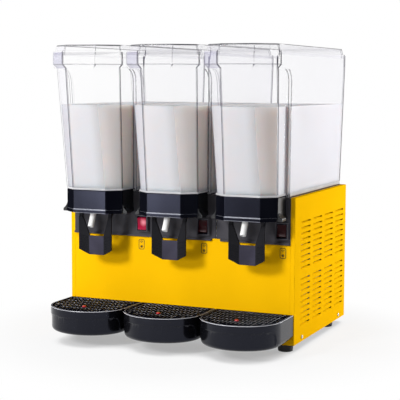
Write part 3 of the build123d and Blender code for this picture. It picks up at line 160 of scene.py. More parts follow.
class Value:
    """A number that varies over a surface; Python's operators on it add Math nodes."""

    def __init__(self, kit: "ShaderKit", socket: bpy.types.NodeSocket) -> None:
        self.kit = kit
        self.socket = socket

    def _math(self, operation: str, first: "Value | float", second: "Value | float") -> "Value":
        """Add one Math node and take its result."""
        return self.kit.value("ShaderNodeMath", {"operation": operation}, {0: first, 1: second})

    def __add__(self, other: "Value | float") -> "Value":
        """Sum."""
        return self._math("ADD", self, other)

    def __radd__(self, other: "Value | float") -> "Value":
        """Sum with a plain number on the left."""
        return self._math("ADD", other, self)

    def __sub__(self, other: "Value | float") -> "Value":
        """Difference."""
        return self._math("SUBTRACT", self, other)

    def __rsub__(self, other: "Value | float") -> "Value":
        """Difference from a plain number."""
        return self._math("SUBTRACT", other, self)

    def __mul__(self, other: "Value | float") -> "Value":
        """Product."""
        return self._math("MULTIPLY", self, other)

    def __rmul__(self, other: "Value | float") -> "Value":
        """Product with a plain number on the left."""
        return self._math("MULTIPLY", other, self)

    def __pow__(self, other: "Value | float") -> "Value":
        """Power."""
        return self._math("POWER", self, other)


class ShaderKit:
    """Adds nodes to one node tree, which it empties first."""

    def __init__(self, tree: bpy.types.NodeTree) -> None:
        """Take over the node tree of a material or world."""
        self.tree = tree
        tree.nodes.clear()

    def node(
        self,
        kind: str,
        settings: dict[str, object] | None = None,
        inputs: dict[str | int, object] | None = None,
    ) -> bpy.types.Node:
        """Add one node of any type.

        Args:
            kind: The node's type.
            settings: Properties of the node, set first.
            inputs: Plain values or links for its sockets, by name or number. A colour is opaque.

        Returns:
            The new node.
        """
        made = self.tree.nodes.new(kind)
        for key, setting in (settings or {}).items():
            setattr(made, key, setting)
        for key, given in (inputs or {}).items():
            socket = made.inputs[key]
            if isinstance(given, Value):
                self.tree.links.new(given.socket, socket)
            else:
                socket.default_value = (*given, 1.0) if socket.type == "RGBA" else given
        return made

    def value(
        self,
        kind: str,
        settings: dict[str, object] | None = None,
        inputs: dict[str | int, object] | None = None,
        output: int | str = 0,
    ) -> Value:
        """Add one node and take one of its outputs, ready for maths."""
        return Value(self, self.node(kind, settings, inputs).outputs[output])

    def noise(self, scale: float, detail: float = 2.0, stretch: Triple = (1.0, 1.0, 1.0)) -> Value:
        """Cloudy noise over the piece.

        Args:
            scale: Clouds per metre.
            detail: Finer layers on top.
            stretch: Density along each axis, so that clouds can be drawn out into streaks.

        Returns:
            The noise, from 0 to 1.
        """
        place = self.value("ShaderNodeTexCoord", output="Object")
        place = self.value("ShaderNodeMapping", inputs={"Vector": place, "Scale": stretch})
        layers = {"Vector": place, "Scale": scale, "Detail": detail}
        return self.value("ShaderNodeTexNoise", inputs=layers)

    def blend(self, share: Value, first: Colour, second: Colour) -> Value:
        """Mix two colours by the share of the second that shows."""
        parts = {0: share, 6: first, 7: second}
        return self.value("ShaderNodeMix", {"data_type": "RGBA"}, parts, output=2)

    def span(self, value: Value, low: float, high: float) -> Value:
        """Ease a value from 0 at a low limit to 1 at a high one."""
        limits = {"Value": value, "From Min": low, "From Max": high}
        return self.value("ShaderNodeMapRange", {"interpolation_type": "SMOOTHSTEP"}, limits)

    def bump(self, height: Value, strength: float, depth: float) -> Value:
        """Turn a height from 0 to 1 into a bumpy normal, with a depth in metres."""
        bumps = {"Height": height, "Strength": strength, "Distance": depth}
        return self.value("ShaderNodeBump", inputs=bumps)


@dataclass(frozen=True)
class Finish:
    """A surface finish, made once as a procedural material."""

    name: str

    def sockets(self, kit: ShaderKit) -> dict[str, object]:
        """Say what feeds the surface shader: values or links for its sockets."""
        raise NotImplementedError

    def material(self) -> bpy.types.Material:
        """Make the material, or find it if it is made already.

        Returns:
            The material.
        """
        known = bpy.data.materials.get(self.name)
        if known:
            return known
        made = bpy.data.materials.new(self.name)
        made.use_nodes = True
        kit = ShaderKit(made.node_tree)
        surface = kit.value("ShaderNodeBsdfPrincipled", inputs=self.sockets(kit))
        kit.node("ShaderNodeOutputMaterial", inputs={"Surface": surface})
        return made


@dataclass(frozen=True)
class PowderCoat(Finish):
    """Sprayed and baked paint on sheet steel, with a faint orange peel."""

    colour: Colour
    deep: Colour
    roughness: float
    shine: float
    peel_scale: float = 750.0
    peel_gloss: float = 0.1
    peel_strength: float = 0.12
    peel_depth: float = 0.0004
    cloud_scale: float = 7.0
    cloud_span: Span = (0.3, 0.7)

    def sockets(self, kit: ShaderKit) -> dict[str, object]:
        """Feed the shader with clouds of colour and the peel's bumps.


        Returns:
            Values or links for the shader's sockets.
        """
        peel = kit.noise(self.peel_scale)
        cloud = kit.span(kit.noise(self.cloud_scale, detail=3.0), *self.cloud_span)
        return {
            "Base Color": kit.blend(cloud, self.colour, self.deep),
            "Roughness": self.roughness + self.peel_gloss * (peel - 0.5),
            "Specular IOR Level": self.shine,
            "Normal": kit.bump(peel, self.peel_strength, self.peel_depth),
        }


@dataclass(frozen=True)
class MouldedPlastic(Finish):
    """Injection-moulded plastic with a fine grain and slow changes of gloss."""

    colour: Colour
    shade: Colour
    roughness: float
    shine: float
    tint: Colour = WHITE
    grain_scale: float = 1400.0
    grain_gloss: float = 0.06
    grain_strength: float = 0.08
    grain_depth: float = 0.0002
    flow_scale: float = 14.0
    flow_stretch: Triple = (1.0, 1.0, 0.4)
    flow_span: Span = (0.25, 0.75)
    flow_gloss: float = 0.08

    def sockets(self, kit: ShaderKit) -> dict[str, object]:
        """Feed the shader with the mould's grain and the melt's flow.


        Returns:
            Values or links for the shader's sockets.
        """
        grain = kit.noise(self.grain_scale)
        noise = kit.noise(self.flow_scale, stretch=self.flow_stretch)
        flow = kit.span(noise, *self.flow_span)
        gloss = self.roughness + self.flow_gloss * flow
        return {
            "Base Color": kit.blend(flow, self.colour, self.shade),
            "Roughness": gloss + self.grain_gloss * (grain - 0.5),
            "Specular IOR Level": self.shine,
            "Specular Tint": self.tint,
            "Normal": kit.bump(grain, self.grain_strength, self.grain_depth),
        }


@dataclass(frozen=True)
class ClearPlastic(Finish):
    """Clear polycarbonate, which shows more of its own tint the more edge-on it is seen."""

    tint: Colour
    deep: Colour
    haze: float
    edge: float
    power: float = 5.0
    start: float = 0.0
    full: float = 1.0
    streak_scale: float = 22.0
    streak_stretch: Triple = (1.0, 1.0, 0.25)
    polish: float = 0.03
    streak_gloss: float = 0.06
    least_haze: float = 0.7
    streak_haze: float = 0.6
    shine: float = 0.5

    def sockets(self, kit: ShaderKit) -> dict[str, object]:
        """Feed the shader's alpha from the angle of sight, with faint streaks from the mould.


        Returns:
            Values or links for the shader's sockets.
        """
        facing = kit.value("ShaderNodeLayerWeight", inputs={"Blend": 0.5}, output="Facing")
        streak = kit.noise(self.streak_scale, detail=3.0, stretch=self.streak_stretch)
        haze = self.haze * (self.least_haze + self.streak_haze * streak)
        edge_on = kit.span(facing, self.start, self.full) ** self.power
        return {
            "Base Color": kit.blend(streak, self.tint, self.deep),
            "Roughness": self.polish + self.streak_gloss * streak,
            "Specular IOR Level": self.shine,
            "Alpha": haze + self.edge * edge_on,
        }


@dataclass(frozen=True)
class Drink(Finish):
    """A white milky drink, whose tone may change slowly towards a leaning line, as painted shading
    across a corner.

    The line is given as its x at the floor, its lean and the reach of the change.
    """

    colour: Colour
    cream_and_painted_shading: Colour
    depth: float
    scale: float
    radius: Triple = (1.0, 0.75, 0.65)
    line: Triple = (0.0, 0.0, 0.0)
    swirl_scale: float = 11.0
    swirl_stretch: Triple = (1.0, 1.0, 0.5)
    swirl_span: Span = (0.3, 0.7)
    swirl_tone: float = 0.08
    roughness: float = 0.42
    swirl_gloss: float = 0.1
    shine: float = 0.25

    def sockets(self, kit: ShaderKit) -> dict[str, object]:
        """Feed the shader with slow creamy swirls and the painted shading towards the line, and let
        light sink into it.

        Returns:
            Values or links for the shader's sockets.
        """
        noise = kit.noise(self.swirl_scale, detail=3.0, stretch=self.swirl_stretch)
        swirl = kit.span(noise, *self.swirl_span)
        share = swirl
        # Towards the line the tone turns to the second colour: painted shading across the corner
        start, lean, reach = self.line
        if reach:
            place = kit.value("ShaderNodeTexCoord", output="Object")
            across = {0: place, 1: (1.0, 0.0, -lean)}
            spot = kit.value("ShaderNodeVectorMath", {"operation": "DOT_PRODUCT"}, across, "Value")
            tone = (1.0 - self.swirl_tone) + self.swirl_tone * swirl
            share = (1.0 - kit.span(spot - start, 0.0, reach)) * tone
        return {
            "Base Color": kit.blend(share, self.colour, self.cream_and_painted_shading),
            "Roughness": self.roughness + self.swirl_gloss * swirl,
            "Specular IOR Level": self.shine,
            "Subsurface Weight": self.depth,
            "Subsurface Radius": self.radius,
            "Subsurface Scale": self.scale,
        }


@dataclass(frozen=True)
class BareMetal(Finish):
    """Bare or plated metal with streaks or spangles."""

    colour: Colour
    dull: Colour
    roughness: float
    scale: float
    stretch: Triple = (1.0, 1.0, 1.0)
    patch_span: Span = (0.35, 0.65)
    patch_gloss: float = 0.16
    streak_strength: float = 0.1
    streak_depth: float = 0.0003

    def sockets(self, kit: ShaderKit) -> dict[str, object]:
        """Feed the shader with streaks in colour, gloss and height.


        Returns:
            Values or links for the shader's sockets.
        """
        streak = kit.noise(self.scale, detail=4.0, stretch=self.stretch)
        patch = kit.span(streak, *self.patch_span)
        return {
            "Base Color": kit.blend(patch, self.colour, self.dull),
            "Metallic": 1.0,
            "Roughness": self.roughness + self.patch_gloss * (patch - 0.5),
            "Normal": kit.bump(streak, self.streak_strength, self.streak_depth),
        }


@dataclass(frozen=True)
class SoftRubber(Finish):
    """Matt rubber or silicone with a dusty bloom."""

    colour: Colour
    bloom: Colour
    roughness: float
    dust_scale: float = 60.0
    dust_span: Span = (0.35, 0.75)
    dust_gloss: float = 0.1
    grain_scale: float = 1100.0
    grain_strength: float = 0.15
    grain_depth: float = 0.0003
    shine: float = 0.3

    def sockets(self, kit: ShaderKit) -> dict[str, object]:
        """Feed the shader with the bloom and a fine texture.


        Returns:
            Values or links for the shader's sockets.
        """
        dust = kit.span(kit.noise(self.dust_scale, detail=4.0), *self.dust_span)
        grain = kit.noise(self.grain_scale)
        return {
            "Base Color": kit.blend(dust, self.colour, self.bloom),
            "Roughness": self.roughness + self.dust_gloss * dust,
            "Specular IOR Level": self.shine,
            "Normal": kit.bump(grain, self.grain_strength, self.grain_depth),
        }


@dataclass(frozen=True)
class LampPlastic(Finish):
    """Translucent plastic with a lamp behind it, which glows brightest round a spot that may be set
    off from the lamp as a painted highlight.
    """

    colour: Colour
    glow: Colour
    strength: float
    reach: float
    spot: Triple = (0.0, 0.0, 0.0)
    patch_scale: float = 90.0
    lens_least: float = 0.7
    lens_patch: float = 0.6
    roughness: float = 0.3
    patch_gloss: float = 0.1
    shine: float = 0.15

    def sockets(self, kit: ShaderKit) -> dict[str, object]:
        """Feed the shader's glow from the distance to the lamp, made uneven by the lens.


        Returns:
            Values or links for the shader's sockets.
        """
        patch = kit.noise(self.patch_scale)
        ends = {0: kit.value("ShaderNodeTexCoord", output="Object"), 1: self.spot}
        away = kit.value("ShaderNodeVectorMath", {"operation": "DISTANCE"}, ends, "Value")
        lens = self.lens_least + self.lens_patch * patch
        near = 1.0 - kit.span(away * lens, 0.0, self.reach)
        return {
            "Base Color": self.colour,
            "Roughness": self.roughness + self.patch_gloss * patch,
            "Specular IOR Level": self.shine,
            "Emission Color": kit.blend(near, self.colour, self.glow),
            "Emission Strength": self.strength,
        }


# Paint and black mouldings
YELLOW_PAINT = PowderCoat(
    "sunny_powder_coat", (0.97, 0.53, 0.003), (0.95, 0.515, 0.0025), 0.45, 0.0
)
BLACK_ENAMEL = PowderCoat("black_enamel", (0.02, 0.02, 0.022), (0.03, 0.03, 0.032), 0.4, 0.3)
BLACK_PLASTIC = MouldedPlastic(
    "black_moulding", (0.001, 0.001, 0.0015), (0.002, 0.002, 0.003), 0.2, 0.14, (0.62, 0.66, 1.0)
)
# The lever's centre facet: a lighter, glossier copy of the ribbed moulding below, painted as sheen
LEVER_PAINTED_SHEEN = MouldedPlastic(
    "black_lever_painted_sheen",
    (0.03, 0.028, 0.04),
    (0.036, 0.033, 0.047),
    0.24,
    0.14,
    (0.66, 0.66, 1.0),
)
BLACK_WING = MouldedPlastic(
    "black_ribbed_moulding", (0.008, 0.008, 0.01), (0.012, 0.012, 0.015), 0.35, 0.06
)
BLACK_SATIN = MouldedPlastic(
    "black_satin_moulding", (0.055, 0.053, 0.062), (0.072, 0.07, 0.08), 0.5, 0.06
)
BLACK_TRAY = MouldedPlastic(
    "black_tray_moulding", (0.003, 0.003, 0.004), (0.005, 0.005, 0.006), 0.12, 0.3, (0.7, 0.74, 1.0)
)
BLACK_GRID = MouldedPlastic(
    "black_grid_moulding", (0.003, 0.0032, 0.006), (0.005, 0.0055, 0.009), 0.45, 0.0
)
BLACK_GLOSS = MouldedPlastic(
    "black_polished_moulding", (0.006, 0.0065, 0.008), (0.009, 0.01, 0.012), 0.3, 0.2
)
# Painted highlights: light grey finishes laid on the rounded edges of black mouldings, where the
# edges catch the light
LIP_PAINTED_HIGHLIGHT = MouldedPlastic("black_lip_painted_highlight", (0.3, 0.31, 0.36), (0.2, 0.21, 0.25), 0.3, 0.4)
RIM_PAINTED_HIGHLIGHT = MouldedPlastic("black_rim_painted_highlight", (0.75, 0.75, 0.8), (0.5, 0.5, 0.54), 0.25, 0.5)
BAR_PAINTED_HIGHLIGHT = MouldedPlastic("black_bar_painted_highlight", (0.6, 0.6, 0.64), (0.3, 0.3, 0.32), 0.3, 0.2)
# Other plastics, rubber and ink
GREY_PLASTIC = MouldedPlastic("grey_moulding", (0.3, 0.3, 0.32), (0.26, 0.26, 0.28), 0.45, 0.4)
RED_PLASTIC = MouldedPlastic("red_moulding", (0.5, 0.006, 0.02), (0.4, 0.004, 0.014), 0.16, 0.5)
DARK_RED = MouldedPlastic("unlit_red_lens", (0.03, 0.001, 0.003), (0.02, 0.001, 0.002), 0.2, 0.08)
# The left rocker's lamp glows through its lens; the glow's brightest spot, set off to the upper
# right, is a painted highlight
LIT_RED = LampPlastic("lit_red_lens", (0.22, 0.002, 0.022), (1.0, 0.4, 0.46), 0.7, 0.011)
MARK_INK = MouldedPlastic("mark_ink", (0.04, 0.022, 0.006), (0.06, 0.03, 0.008), 0.5, 0.2)
SILICONE = SoftRubber("white_silicone_rubber", (0.86, 0.86, 0.85), (0.8, 0.8, 0.8), 0.4)
# Clear walls; after them, painted dark reflections for edges, corners and slanted sides, painted
# light for the bowl's foot, and a dark edge finish that is also the painted shadow at the foot's
# gap
CLEAR_WALL = ClearPlastic("clear_wall", (0.62, 0.6, 0.72), (0.5, 0.48, 0.62), 0.006, 0.32)
CLEAR_LINE = ClearPlastic(
    "clear_edge_painted_reflection", (0.06, 0.055, 0.09), (0.04, 0.035, 0.07), 0.62, 0.3, 2.0
)
CLEAR_EDGE_PAINTED_SHADE = ClearPlastic(
    "clear_edge_painted_shade", (0.03, 0.028, 0.045), (0.02, 0.018, 0.03), 0.9, 0.1, 2.0
)
CLEAR_CORNER = ClearPlastic(
    "clear_rim_corner_painted_reflection", (0.04, 0.035, 0.07), (0.03, 0.025, 0.05), 0.01, 0.95, 1.0, 0.02, 0.22
)
CLEAR_BEND = ClearPlastic(
    "clear_nose_corner_painted_reflection", (0.04, 0.035, 0.07), (0.03, 0.025, 0.05), 0.01, 0.9, 1.0, 0.1, 0.3
)
CLEAR_FACET = ClearPlastic(
    "clear_slanted_wall_painted_reflection", (0.36, 0.35, 0.48), (0.3, 0.29, 0.42), 0.02, 0.72, 1.1
)
# The bowl's foot: a whitish haze as painted light
CLEAR_FOOT = ClearPlastic("clear_bowl_foot_painted_light", (0.66, 0.66, 0.67), (0.6, 0.6, 0.62), 0.85, 0.06)
# The drink as its walls show it, with painted light and shade: front and slant tones that shade
# into each other at their corner, a darker left side, a lit end on the right station and warm light
# at the ends in the gaps between bowls
MILK = Drink("milky_drink", (0.63, 0.625, 0.645), (0.545, 0.535, 0.545), 1.0, 0.05)
MILK_SLANT = Drink("milky_drink_slant", (0.7, 0.66, 0.64), (0.86, 0.84, 0.84), 1.0, 0.05)
MILK_END_PAINTED_LIGHT = Drink("milky_drink_end_painted_light", (0.68, 0.67, 0.7), (0.66, 0.65, 0.67), 0.6, 0.03)
MILK_LEFT_PAINTED_SHADE = Drink("milky_drink_left_painted_shade", (0.53, 0.525, 0.55), (0.53, 0.52, 0.54), 0.6, 0.05)
MILK_GAP_PAINTED_WARM_LIGHT = Drink(
    "milky_drink_gap_painted_warm_light", (0.98, 0.86, 0.78), (0.96, 0.84, 0.76), 0.9, 0.03, (1.0, 0.7, 0.55)
)

FINISH_OF_SLOT: dict[str, Finish] = {
    "yellow_paint": YELLOW_PAINT,
    "zinc_steel": BareMetal("zinc_spangle", (0.55, 0.56, 0.58), (0.4, 0.42, 0.45), 0.42, 45.0),
    "stainless": BareMetal(
        "brushed_stainless", (0.66, 0.66, 0.67), (0.5, 0.5, 0.52), 0.3, 60.0, (1.0, 1.0, 18.0)
    ),
    "screw_steel": BareMetal("bright_screw", (0.72, 0.72, 0.74), (0.5, 0.5, 0.52), 0.28, 400.0),
    "black_plastic": BLACK_PLASTIC,
    "clear_plastic": CLEAR_WALL,
    "red_plastic": RED_PLASTIC,
    "grey_plastic": GREY_PLASTIC,
    "white_silicone": SILICONE,
    "black_rubber": SoftRubber(
        "black_foot_rubber", (0.018, 0.018, 0.018), (0.05, 0.05, 0.05), 0.75
    ),
    "grey_rubber": SoftRubber("grey_seal_rubber", (0.3, 0.3, 0.31), (0.4, 0.4, 0.4), 0.7),
    "black_paint": BLACK_ENAMEL,
    "fin_aluminium": BareMetal(
        "mill_aluminium", (0.75, 0.75, 0.77), (0.6, 0.6, 0.63), 0.36, 90.0, (1.0, 1.0, 6.0)
    ),
    "copper": BareMetal("bare_copper", (0.72, 0.36, 0.22), (0.42, 0.2, 0.12), 0.34, 70.0),
    "magnet_steel": BareMetal("coated_magnet", (0.2, 0.2, 0.22), (0.14, 0.14, 0.15), 0.5, 120.0),
}


class Bench:
    """Blender's modelling operators, used on one piece at a time."""

    @staticmethod
    def clear() -> None:
        """Deselect every object, so that an operator meets only what comes next."""
        bpy.ops.object.select_all(action="DESELECT")

    @staticmethod
    def take(piece: bpy.types.Object, *others: bpy.types.Object) -> None:
        """Select a piece alone, or with others that go into it.

        Args:
            piece: The piece that becomes active.
            others: Further pieces to select.
        """
        Bench.clear()
        bpy.context.view_layer.objects.active = piece
        for each in (piece, *others):
            each.select_set(True)

    @staticmethod
    @contextmanager
    def editing(piece: bpy.types.Object, whole: bool = False) -> Iterator[None]:
        """Open a piece in edit mode for the length of a with block.

        Args:
            piece: The piece to open.
            whole: Whether all of its mesh is selected at the start.

        Yields:
            Nothing.
        """
        Bench.take(piece)
        bpy.ops.object.mode_set(mode="EDIT")
        if whole:
            bpy.ops.mesh.select_all(action="SELECT")
        yield
        bpy.ops.object.mode_set(mode="OBJECT")

    @staticmethod
    def choose(piece: bpy.types.Object, part: MeshPart, test: Callable[[object], bool]) -> None:
        """Select only the corners, edges or faces of an open piece that pass a test.

        Args:
            piece: The piece in edit mode.
            part: What is selected.
            test: Says whether one of them is wanted.
        """
        bpy.ops.mesh.select_mode(type=part.value)
        bpy.ops.mesh.select_all(action="DESELECT")
        mesh = bmesh.from_edit_mesh(piece.data)
        groups = {
            MeshPart.CORNER: mesh.verts,
            MeshPart.EDGE: mesh.edges,
            MeshPart.FACE: mesh.faces,
        }
        for item in groups[part]:
            if test(item):
                item.select_set(True)
        mesh.select_flush_mode()
        bmesh.update_edit_mesh(piece.data)

    @staticmethod
    def block(
        name: str, low: Vector, high: Vector, turn: Triple = (0.0, 0.0, 0.0)
    ) -> bpy.types.Object:
        """Start a piece from a box.

        Args:
            name: The piece's name.
            low: Lowest corner before it is turned about its middle.
            high: Highest corner.
            turn: Angles about X, Y and Z.

        Returns:
            The box, with its place in its mesh.
        """
        Bench.clear()
        centre, size = (low + high) / 2, high - low
        bpy.ops.mesh.primitive_cube_add(size=1.0, location=centre, rotation=turn, scale=size)
        return Bench.named(name)

    @staticmethod
    def named(name: str) -> bpy.types.Object:
        """Name the primitive that was just added, and put its place into its mesh.

        Args:
            name: The piece's name.

        Returns:
            The piece.
        """
        piece = bpy.context.object
        piece.name = piece.data.name = name
        bpy.ops.object.transform_apply(location=True, rotation=True, scale=True)
        return piece

    @staticmethod
    def merge() -> None:
        """Merge the doubled corners of the selection, and make its flat faces whole."""
        bpy.ops.mesh.remove_doubles(threshold=MERGE)
        bpy.ops.mesh.dissolve_limited(angle_limit=FLAT_ANGLE)

    @staticmethod
    def copy_node(node: str, name: str) -> bpy.types.Object:
        """Copy a node of the frame as a clean mesh: merged, with flat faces whole.

        Args:
            node: The node's name.
            name: The piece's name.

        Returns:
            The piece.
        """
        mesh = frame["nodes"][node].data.copy()
        mesh.materials.clear()
        piece = bpy.data.objects.new(name, mesh)
        bpy.context.scene.collection.objects.link(piece)
        with Bench.editing(piece, whole=True):
            Bench.merge()
        return piece

    @staticmethod
    def roomy(
        edge: bmesh.types.BMEdge, radius: float, room: float = 2.2, along: float = 0.9
    ) -> bool:
        """Whether an edge is sharp, and the edges that branch off it leave room for a rounding.

        Args:
            edge: An edge of an open mesh.
            radius: Width of the rounding.
            room: Shortest branch, in widths.
            along: Cosine past which an edge goes on along this one and is no branch.

        Returns:
            True where the rounding fits.
        """
        if len(edge.link_faces) != 2 or edge.calc_face_angle() < SHARP_ANGLE:
            return False
        for end in edge.verts:
            run = (edge.other_vert(end).co - end.co).normalized()
            for other in end.link_edges:
                away = other.other_vert(end).co - end.co
                if away.length < room * radius and abs(away.normalized().dot(run)) < along:
                    return False
        return True

    @staticmethod
    def soften(piece: bpy.types.Object, radius: float, segments: int = 2) -> None:
        """Round the sharp edges of a piece, where there is room."""
        Bench.bevel(piece, lambda edge: Bench.roomy(edge, radius), radius, segments)

    @staticmethod
    def bevel(
        piece: bpy.types.Object,
        test: Callable[[bmesh.types.BMEdge], bool],
        radius: float,
        segments: int = 3,
        mark: int = -1,
        clamp: bool = False,
    ) -> None:
        """Round chosen edges of a piece.

        Args:
            piece: The piece.
            test: Says whether an edge is rounded.
            radius: Width of the rounding.
            segments: Faces across it.
            mark: Number of the new faces' finish, or -1 for their neighbours'.
            clamp: Whether roundings that would meet are held back.
        """
        with Bench.editing(piece):
            Bench.choose(piece, MeshPart.EDGE, test)
            bpy.ops.mesh.bevel(
                offset=radius,
                segments=segments,
                affect="EDGES",
                clamp_overlap=clamp,
                material=int(mark),
            )

    @staticmethod
    def bisect(piece: bpy.types.Object, place: Triple, normal: Triple) -> None:
        """Divide the faces of a piece along a plane."""
        with Bench.editing(piece, whole=True):
            bpy.ops.mesh.bisect(plane_co=place, plane_no=normal)

    @staticmethod
    def modify(piece: bpy.types.Object, kind: str, **settings: object) -> None:
        """Add a modifier to a piece and apply it.

        Args:
            piece: The piece.
            kind: The modifier's type.
            settings: Properties of the modifier.
        """
        Bench.take(piece)
        modifier = piece.modifiers.new(kind.lower(), kind)
        for key, setting in settings.items():
            setattr(modifier, key, setting)
        bpy.ops.object.modifier_apply(modifier=modifier.name)

    @staticmethod
    def smooth(piece: bpy.types.Object, angle: float = 50.0, flat: bool = True) -> None:
        """Shade a piece smoothly across its roundings.

        Args:
            piece: The piece.
            angle: Steepest angle, in degrees, that is shaded smoothly.
            flat: Whether its large faces are shaded flat.
        """
        Bench.take(piece)
        bpy.ops.object.shade_smooth_by_angle(angle=math.radians(angle))
        if flat:
            Bench.modify(piece, "WEIGHTED_NORMAL", keep_sharp=True)

    @staticmethod
    def cut(piece: bpy.types.Object, tool: bpy.types.Object) -> None:
        """Cut a closed mesh out of a piece; the tool stays as it is."""
        Bench.modify(piece, "BOOLEAN", operation="DIFFERENCE", solver="EXACT", object=tool)

    @staticmethod
    def join(piece: bpy.types.Object, others: Sequence[bpy.types.Object]) -> None:
        """Join other pieces into one, which keeps its name."""
        Bench.take(piece, *others)
        bpy.ops.object.join()

    @staticmethod
    def copies(piece: bpy.types.Object, shifts: Sequence[Vector]) -> list[bpy.types.Object]:
        """Copy a piece to other places, each copy with its own mesh.

        Args:
            piece: The piece to copy.
            shifts: How far each copy is moved.

        Returns:
            The copies.
        """
        made = []
        for number, shift in enumerate(shifts):
            mesh = piece.data.copy()
            mesh.transform(Matrix.Translation(shift))
            copy = bpy.data.objects.new(f"{piece.name}_{number}", mesh)
            bpy.context.scene.collection.objects.link(copy)
            made.append(copy)
        return made

    @staticmethod
    def discard(piece: bpy.types.Object) -> None:
        """Delete a piece that was only a tool."""
        bpy.data.objects.remove(piece, do_unlink=True)


def paint(piece: bpy.types.Object, *finishes: Finish) -> None:
    """Give a piece its finishes, in the order of their numbers.

    Args:
        piece: The piece.
        finishes: The finishes.
    """
    piece.data.materials.clear()
    for finish in finishes:
        piece.data.materials.append(finish.material())


def mark_faces(
    piece: bpy.types.Object, number: int, test: Callable[[bpy.types.MeshPolygon], bool]
) -> None:
    """Give the faces that pass a test another of the piece's finishes.

    Args:
        piece: The piece.
        number: The finish's number.
        test: Says whether a face is meant.
    """
    for face in piece.data.polygons:
        if test(face):
            face.material_index = int(number)


def mount(piece: bpy.types.Object, node: str, stands_for: bool = True) -> None:
    """Let a piece ride with a node's body and, if asked, stand for it.

    Args:
        piece: The finished piece.
        node: The node of the frame.
        stands_for: Whether the node is hidden behind the piece.
    """
    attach(piece, BODY_OF_NODE[node])
    if stands_for:
        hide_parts(node)
    report(piece, BODY_OF_NODE[node])


def report(piece: bpy.types.Object, body: str) -> None:
    """Log a finished piece."""
    LOG.info("%s rides on %s with %d faces", piece.name, body, len(piece.data.polygons))


def finish_of(node: str) -> Finish:
    """Finish of a node's slot."""
    return FINISH_OF_SLOT[SLOT_OF_NODE[node]]


def middle_of(node: str) -> Vector:
    """Middle of a node's box."""
    low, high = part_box(node)
    return (low + high) / 2


